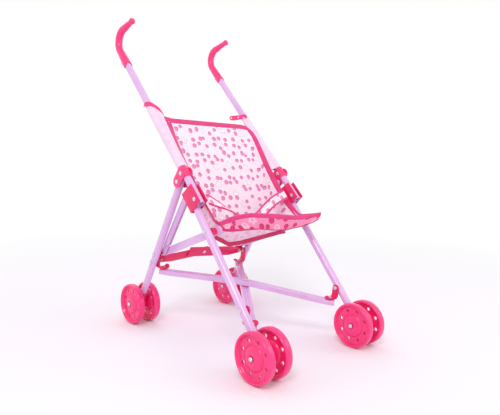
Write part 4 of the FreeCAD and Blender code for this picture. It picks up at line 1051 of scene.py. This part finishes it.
def slingAt(u, v):
    # the same, with its corners and folds eased, and slow waves in the cloth
    du = min(0.022, u, 1 - u)
    dv = min(0.026, v, 1 - v)
    total = Vector((0, 0, 0))
    for su in (-1, 0, 1):
        for sv in (-1, -0.5, 0, 0.5, 1):
            total += slingPoint(u + su * du, v + sv * dv)
    place = total / 15
    calm = min(1.0, 8 * min(u, 1 - u, v, 1 - v))
    ripple = noise.noise(place * 34) + 0.5 * noise.noise(place * 80 + Vector((5, 1, 3)))
    sway = 0.35 * noise.noise(place * 30 + Vector((9, 0, 0)))
    return place + Vector((sway, -0.8 * ripple, 0.5 * ripple)) * sling["wave"] * calm


slingDown = [0.0]  # distance down the middle
downSteps = 200
for k in range(downSteps):
    step = slingAt(0.5, (k + 1) / downSteps) - slingAt(0.5, k / downSteps)
    slingDown.append(slingDown[-1] + step.length)


def slingFlat(u, v):
    across = lengthOf([slingPoint(0.5 + (u - 0.5) * k / 8, v) for k in range(9)])
    return (across if u > 0.5 else -across), slingDown[round(v * downSteps)]


seatSling = layCloth("seatSling", sling["across"], sling["along"], slingAt, slingFlat)
finishCloth(seatSling, "printedCotton", sling["thick"], lining="printBack")
goesWithFold(seatSling, "seat_back")
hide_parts("seat_back", "seat_base")
print("seat sling laid")


# its binding: round the whole edge, and a narrower one along the fold

binding = {
    "wide": 0.0092, "thick": 0.0021, "steps": 400,
    "foldWide": 0.0072, "foldThick": 0.0018, "foldSteps": 90, "foldFrom": -0.0835, "foldLong": 0.180,
}


def slingEdge(share):
    # top hem, right edge, front edge, left edge
    leg, rest = int(share % 1.0 * 4), share * 4 % 1.0
    return [(rest, 0.0), (1.0, rest), (1 - rest, 1.0), (0.0, 1 - rest)][leg]


def bindingPath(share):
    u, v = slingEdge(share)
    ahead = slingAt(*slingEdge(share + 0.0015)) - slingAt(*slingEdge(share - 0.0015))
    outside = slingAt(u, v)
    inside = slingAt(min(max(u, 0.02), 0.98), min(max(v, 0.03), 0.97))
    inward = (inside - outside).normalized()
    return outside, inward, ahead.cross(inward).normalized()


def foldPath(share):
    x = binding["foldFrom"] + binding["foldLong"] * share
    near = [alongLine(sling["fold"], x + shift) for shift in (-0.004, 0.0, 0.004)]
    place = Vector((x, -0.0045, sum(each.y for each in near) / 3))
    down = Vector((0, -0.1, -1)).normalized()
    return place + down * 0.0045, -down, Vector((0, -1, 0.1)).normalized()


slingBinding = layTape("slingBinding", "trimTape", bindingPath, binding["steps"], binding["wide"],
                       binding["thick"], closed=True)
foldBinding = layTape("foldBinding", "deepTrimTape", foldPath, binding["foldSteps"], binding["foldWide"],
                      binding["foldThick"])
for tape in (slingBinding, foldBinding):
    goesWithFold(tape, "seat_back")
print("binding sewn")


# valance: a printed strip that hangs from the front edge, under a wider tape

valance = {
    "across": 84, "down": 10, "thick": 0.0007, "tapeWide": 0.0072,
    "turn": 0.13, "sideFrom": 0.83,  # the share that runs along the left side, and where it starts there
    # share, then x, y and z of the lower edge
    "hem": [(0.0, -0.0928, -0.051, 0.1950), (0.06, -0.0905, -0.060, 0.1940), (0.13, -0.0850, -0.068, 0.1945),
            (0.22, -0.066, -0.072, 0.1950), (0.39, -0.033, -0.074, 0.1950), (0.52, -0.008, -0.075, 0.1915),
            (0.63, 0.018, -0.077, 0.1900), (0.77, 0.045, -0.080, 0.1925), (0.84, 0.0587, -0.082, 0.1943),
            (0.95, 0.080, -0.087, 0.2000), (1.0, 0.0905, -0.0915, 0.2065)],
}


def valancePoint(u, v):
    # u round the left corner and along the front, v down
    turn = valance["turn"]
    if u < turn:
        top = slingAt(0.0, valance["sideFrom"] + (1 - valance["sideFrom"]) * u / turn)
    else:
        top = slingAt((u - turn) / (1 - turn), 1.0)
    ahead = alongLine(valance["hem"], min(u + 0.03, 1))
    behind = alongLine(valance["hem"], max(u - 0.03, 0))
    bottom = (ahead + behind + alongLine(valance["hem"], u)) / 3
    outward = (ahead - behind).cross(Vector((0, 0, 1))).normalized()
    belly = sin(pi * v) * (0.0014 + 0.0012 * noise.noise(bottom * 45))
    return (top + outward * 0.0012).lerp(bottom, v) + outward * belly


def valanceFlat(u, v):
    return u * 0.206, v * 0.026


frontValance = layCloth("frontValance", valance["across"], valance["down"], valancePoint, valanceFlat)
finishCloth(frontValance, "valanceCotton", valance["thick"])
goesWithFold(frontValance, "seat_skirt")
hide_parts("seat_skirt")


def valancePath(side):
    def path(share):
        ahead = valancePoint(min(share + 0.01, 1), side) - valancePoint(max(share - 0.01, 0), side)
        outside = valancePoint(share, side)
        inward = (valancePoint(share, 0.4 if side == 0 else 0.6) - outside).normalized()
        facing = ahead.cross(inward).normalized()
        return outside + facing * 0.0003, inward, facing
    return path


def valanceEnd(share):
    outside = valancePoint(0.0, share)
    inward = (valancePoint(0.08, share) - outside).normalized()
    return outside, inward, Vector((0, 0, 1)).cross(inward).normalized()


def hemWide(share):
    return 0.0050 - 0.0036 * min(share * 2.4, 1)  # wide at the left corner, a thin seam beyond it


def endWide(share):
    return 0.0035 + 0.006 * share


frontTape = layTape("frontTape", "trimTape", valancePath(0), valance["across"], valance["tapeWide"], 0.0024)
hemTape = layTape("hemTape", "deepTrimTape", valancePath(1), valance["across"], hemWide, 0.0017)
endTape = layTape("endTape", "deepTrimTape", valanceEnd, valance["down"], endWide, 0.0018)
for tape in (frontTape, hemTape, endTape):
    goesWithFold(tape, "seat_skirt")
print("valance hung")


# lap belt: a printed strip across the seat, with a narrow tape along both edges

belt = {
    "along": 80, "wide": 0.020, "thick": 0.0009, "tape": 0.0036,
    # share, then x, y and z along its middle line
    "line": [(0.0, -0.0955, -0.010, 0.2425), (0.14, -0.070, -0.022, 0.2310), (0.28, -0.046, -0.029, 0.2165),
             (0.40, -0.022, -0.032, 0.2045), (0.50, -0.004, -0.032, 0.2045), (0.59, 0.012, -0.030, 0.2140),
             (0.72, 0.035, -0.026, 0.2300), (0.86, 0.063, -0.018, 0.2390), (1.0, 0.0955, -0.008, 0.2450)],
    # share, then which way its width runs
    "lean": [(0.0, 0.10, 0.55, 0.83), (0.28, 0.20, 0.95, 0.10), (0.5, 0.0, 0.9, 0.3),
             (0.7, 0.0, 0.72, 0.70), (1.0, 0.0, 0.65, 0.76)],
}


def beltPoint(u, v):
    near = [min(max(v + shift, 0), 1) for shift in (-0.08, -0.04, 0, 0.04, 0.08)]
    line = sum((alongLine(belt["line"], share) for share in near), Vector((0, 0, 0))) / 5
    lean = sum((alongLine(belt["lean"], share) for share in near), Vector((0, 0, 0))).normalized()
    ripple = 0.0009 * noise.noise(Vector((v * 9, u, 4.0)))
    return line + lean * belt["wide"] * (u - 0.5) + Vector((0, -ripple, ripple))


lapBelt = layCloth("lapBelt", 10, belt["along"], beltPoint, lambda u, v: (v * 0.21, u * belt["wide"]))
finishCloth(lapBelt, "printedCotton", belt["thick"])
goesWithFold(lapBelt, "lap_belt")
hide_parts("lap_belt")


def beltPath(side):
    def path(share):
        outside = beltPoint(side, share)
        ahead = beltPoint(side, min(share + 0.01, 1)) - beltPoint(side, max(share - 0.01, 0))
        inward = (beltPoint(0.5, share) - outside).normalized()
        return outside, inward, ahead.cross(inward).normalized()
    return path


beltTapes = [layTape(f"beltTape_{edge}", "trimTape", beltPath(side), belt["along"], belt["tape"], 0.0019)
             for edge, side in (("low", 0.0), ("high", 1.0))]
for tape in beltTapes:
    goesWithFold(tape, "lap_belt")
print("lap belt laid")


# sleeves: the strip that the sling is sewn to, wrapped round each handle tube

sleeve = {
    "round": 36, "along": 60, "thick": 0.0006, "ruck": 0.0006, "tube": 0.0070,
    "from": 0.066, "to": 0.209, "retractFrom": 0.184,  # distances up the tube from the elbow
    "flap": 0.14,  # the share of the round that runs from the tube to the sling's edge, on each side
}


def sleevePoint(sign):
    def at(u, v):
        t = sleeve["from"] + (sleeve["to"] - sleeve["from"]) * v
        edge = alongLine(sleeveEdge[sign], t)
        reach = Vector((handle["x"] - edge.x, edge.y))  # towards the middle, and up off the tube
        tip = easeIn((t - sleeve["retractFrom"]) / (sleeve["to"] - sleeve["retractFrom"]))
        ruck = noise.noise(Vector((t * 70, sin(2 * pi * u) * 0.8, cos(2 * pi * u) * 0.8 + sign)))
        radius = sleeve["tube"] + sleeve["ruck"] * abs(ruck)
        reach = reach * (1 - tip) + reach.normalized() * (radius + 0.0006) * tip
        away = max(reach.length, radius + 0.0004)
        middle = atan2(reach.y, reach.x)
        touch = 0.42 * acos(radius / away)
        rim = min(u, 1 - u) / sleeve["flap"]
        turn = 1 if u < 0.5 else -1
        if rim < 1:
            angle = middle + turn * touch
            flat = reach.lerp(Vector((radius * cos(angle), radius * sin(angle))), rim)
        else:
            share = (u - sleeve["flap"]) / (1 - 2 * sleeve["flap"])
            angle = middle + touch + (2 * pi - 2 * touch) * share
            flat = Vector((radius * cos(angle), radius * sin(angle)))
        foot = Vector((sign * (handle["x"] - flat.x), handle["elbow"].y, handle["elbow"].z))
        return foot + upHandle * t + overHandle * flat.y
    return at


def alongSleeve(sign):
    # the sling's side edge, as distances along the tube and off it
    line = []
    for k in range(60):
        share = k / 59 * 0.62
        place = slingAt(0.5 + sign * 0.5, share) - handle["elbow"]
        line.append((place.dot(upHandle), abs(place.x), place.dot(overHandle)))
    return sorted(line)


sleeveEdge = {sign: alongSleeve(sign) for sign in (-1, 1)}
for side, sign in sides.items():
    cover = layCloth(f"sleeve_{side}", sleeve["round"], sleeve["along"], sleevePoint(sign),
                     lambda u, v: (u * 0.055, v * 0.143))
    finishCloth(cover, "sleeveCotton", sleeve["thick"])
    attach(cover, bodyOf[f"seat_side_{side}"])
    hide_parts(f"seat_side_{side}")
print("sleeves sewn")


# floor, backdrop and lamps

studio = {
    "floor": 9.0,  # radius, metres
    "fadeFrom": 0.30, "fadeTo": 1.5,  # where the floor goes over into the white behind it
    "world": 0.82,
    "lamps": [
        # place, size, watts
        ((-1.1, -0.9, 1.5), 0.55, 9.0),
        ((0.9, -1.1, 0.9), 0.8, 2.6),
        ((0.2, 1.2, 1.5), 0.9, 3.2),
    ],
}


def whiteToView(tree):
    # 1 for rays that see the background: the camera's, mirror and clear ones
    seen = tree.nodes.new("ShaderNodeLightPath")
    share = calc(tree, "MAXIMUM", seen.outputs["Is Camera Ray"], seen.outputs["Is Glossy Ray"])
    return calc(tree, "MAXIMUM", share, seen.outputs["Is Transmission Ray"])


def makeFloor():
    floor = startPiece("floor", bpy.ops.mesh.primitive_circle_add, vertices=96, radius=studio["floor"],
                       fill_type="NGON")
    objectMode()
    material, tree, shader = startMaterial("studioFloor")
    tone = mixColour(tree, noiseOf(tree, whereOn(tree), 1.5, 2.0), srgb(250, 246, 252), srgb(248, 243, 251))
    feed(tree, shader.inputs["Base Color"], tone)
    shader.inputs["Roughness"].default_value = 0.9
    shader.inputs["Specular IOR Level"].default_value = 0.1
    glow = tree.nodes.new("ShaderNodeEmission")
    glow.inputs["Strength"].default_value = 1.0
    out = tree.nodes["Material Output"]
    blendIn = tree.nodes.new("ShaderNodeMixShader")
    away = calcVector(tree, "LENGTH", whereOn(tree))
    far = soften(tree, away, studio["fadeFrom"], studio["fadeTo"])
    feed(tree, blendIn.inputs[0], calc(tree, "MULTIPLY", far, whiteToView(tree)))
    tree.links.new(shader.outputs[0], blendIn.inputs[1])
    tree.links.new(glow.outputs[0], blendIn.inputs[2])
    tree.links.new(blendIn.outputs[0], out.inputs["Surface"])
    floor.data.materials.append(material)


def makeWorld():
    world = bpy.data.worlds.new("studio")
    bpy.context.scene.world = world
    world.use_nodes = True
    tree = world.node_tree
    shade = tree.nodes["Background"]
    shade.inputs["Color"].default_value = (1, 1, 1, 1)
    feed(tree, shade.inputs["Strength"], soften(tree, whiteToView(tree), 0.0, 1.0, studio["world"], 1.0))


makeFloor()
makeWorld()
for lampAt, size, watts in studio["lamps"]:
    lampData = bpy.data.lights.new("softbox", "AREA")
    lampData.shape = "DISK"
    lampData.size = size
    lampData.energy = watts
    lamp = bpy.data.objects.new("softbox", lampData)
    bpy.context.scene.collection.objects.link(lamp)
    lamp.location = lampAt
    lamp.rotation_euler = (Vector((0, 0, 0.2)) - Vector(lampAt)).to_track_quat("-Z", "Y").to_euler()

bpy.context.scene.view_settings.view_transform = "Standard"
objectMode()
bpy.ops.object.select_all(action="DESELECT")
print("stage and lamps set")
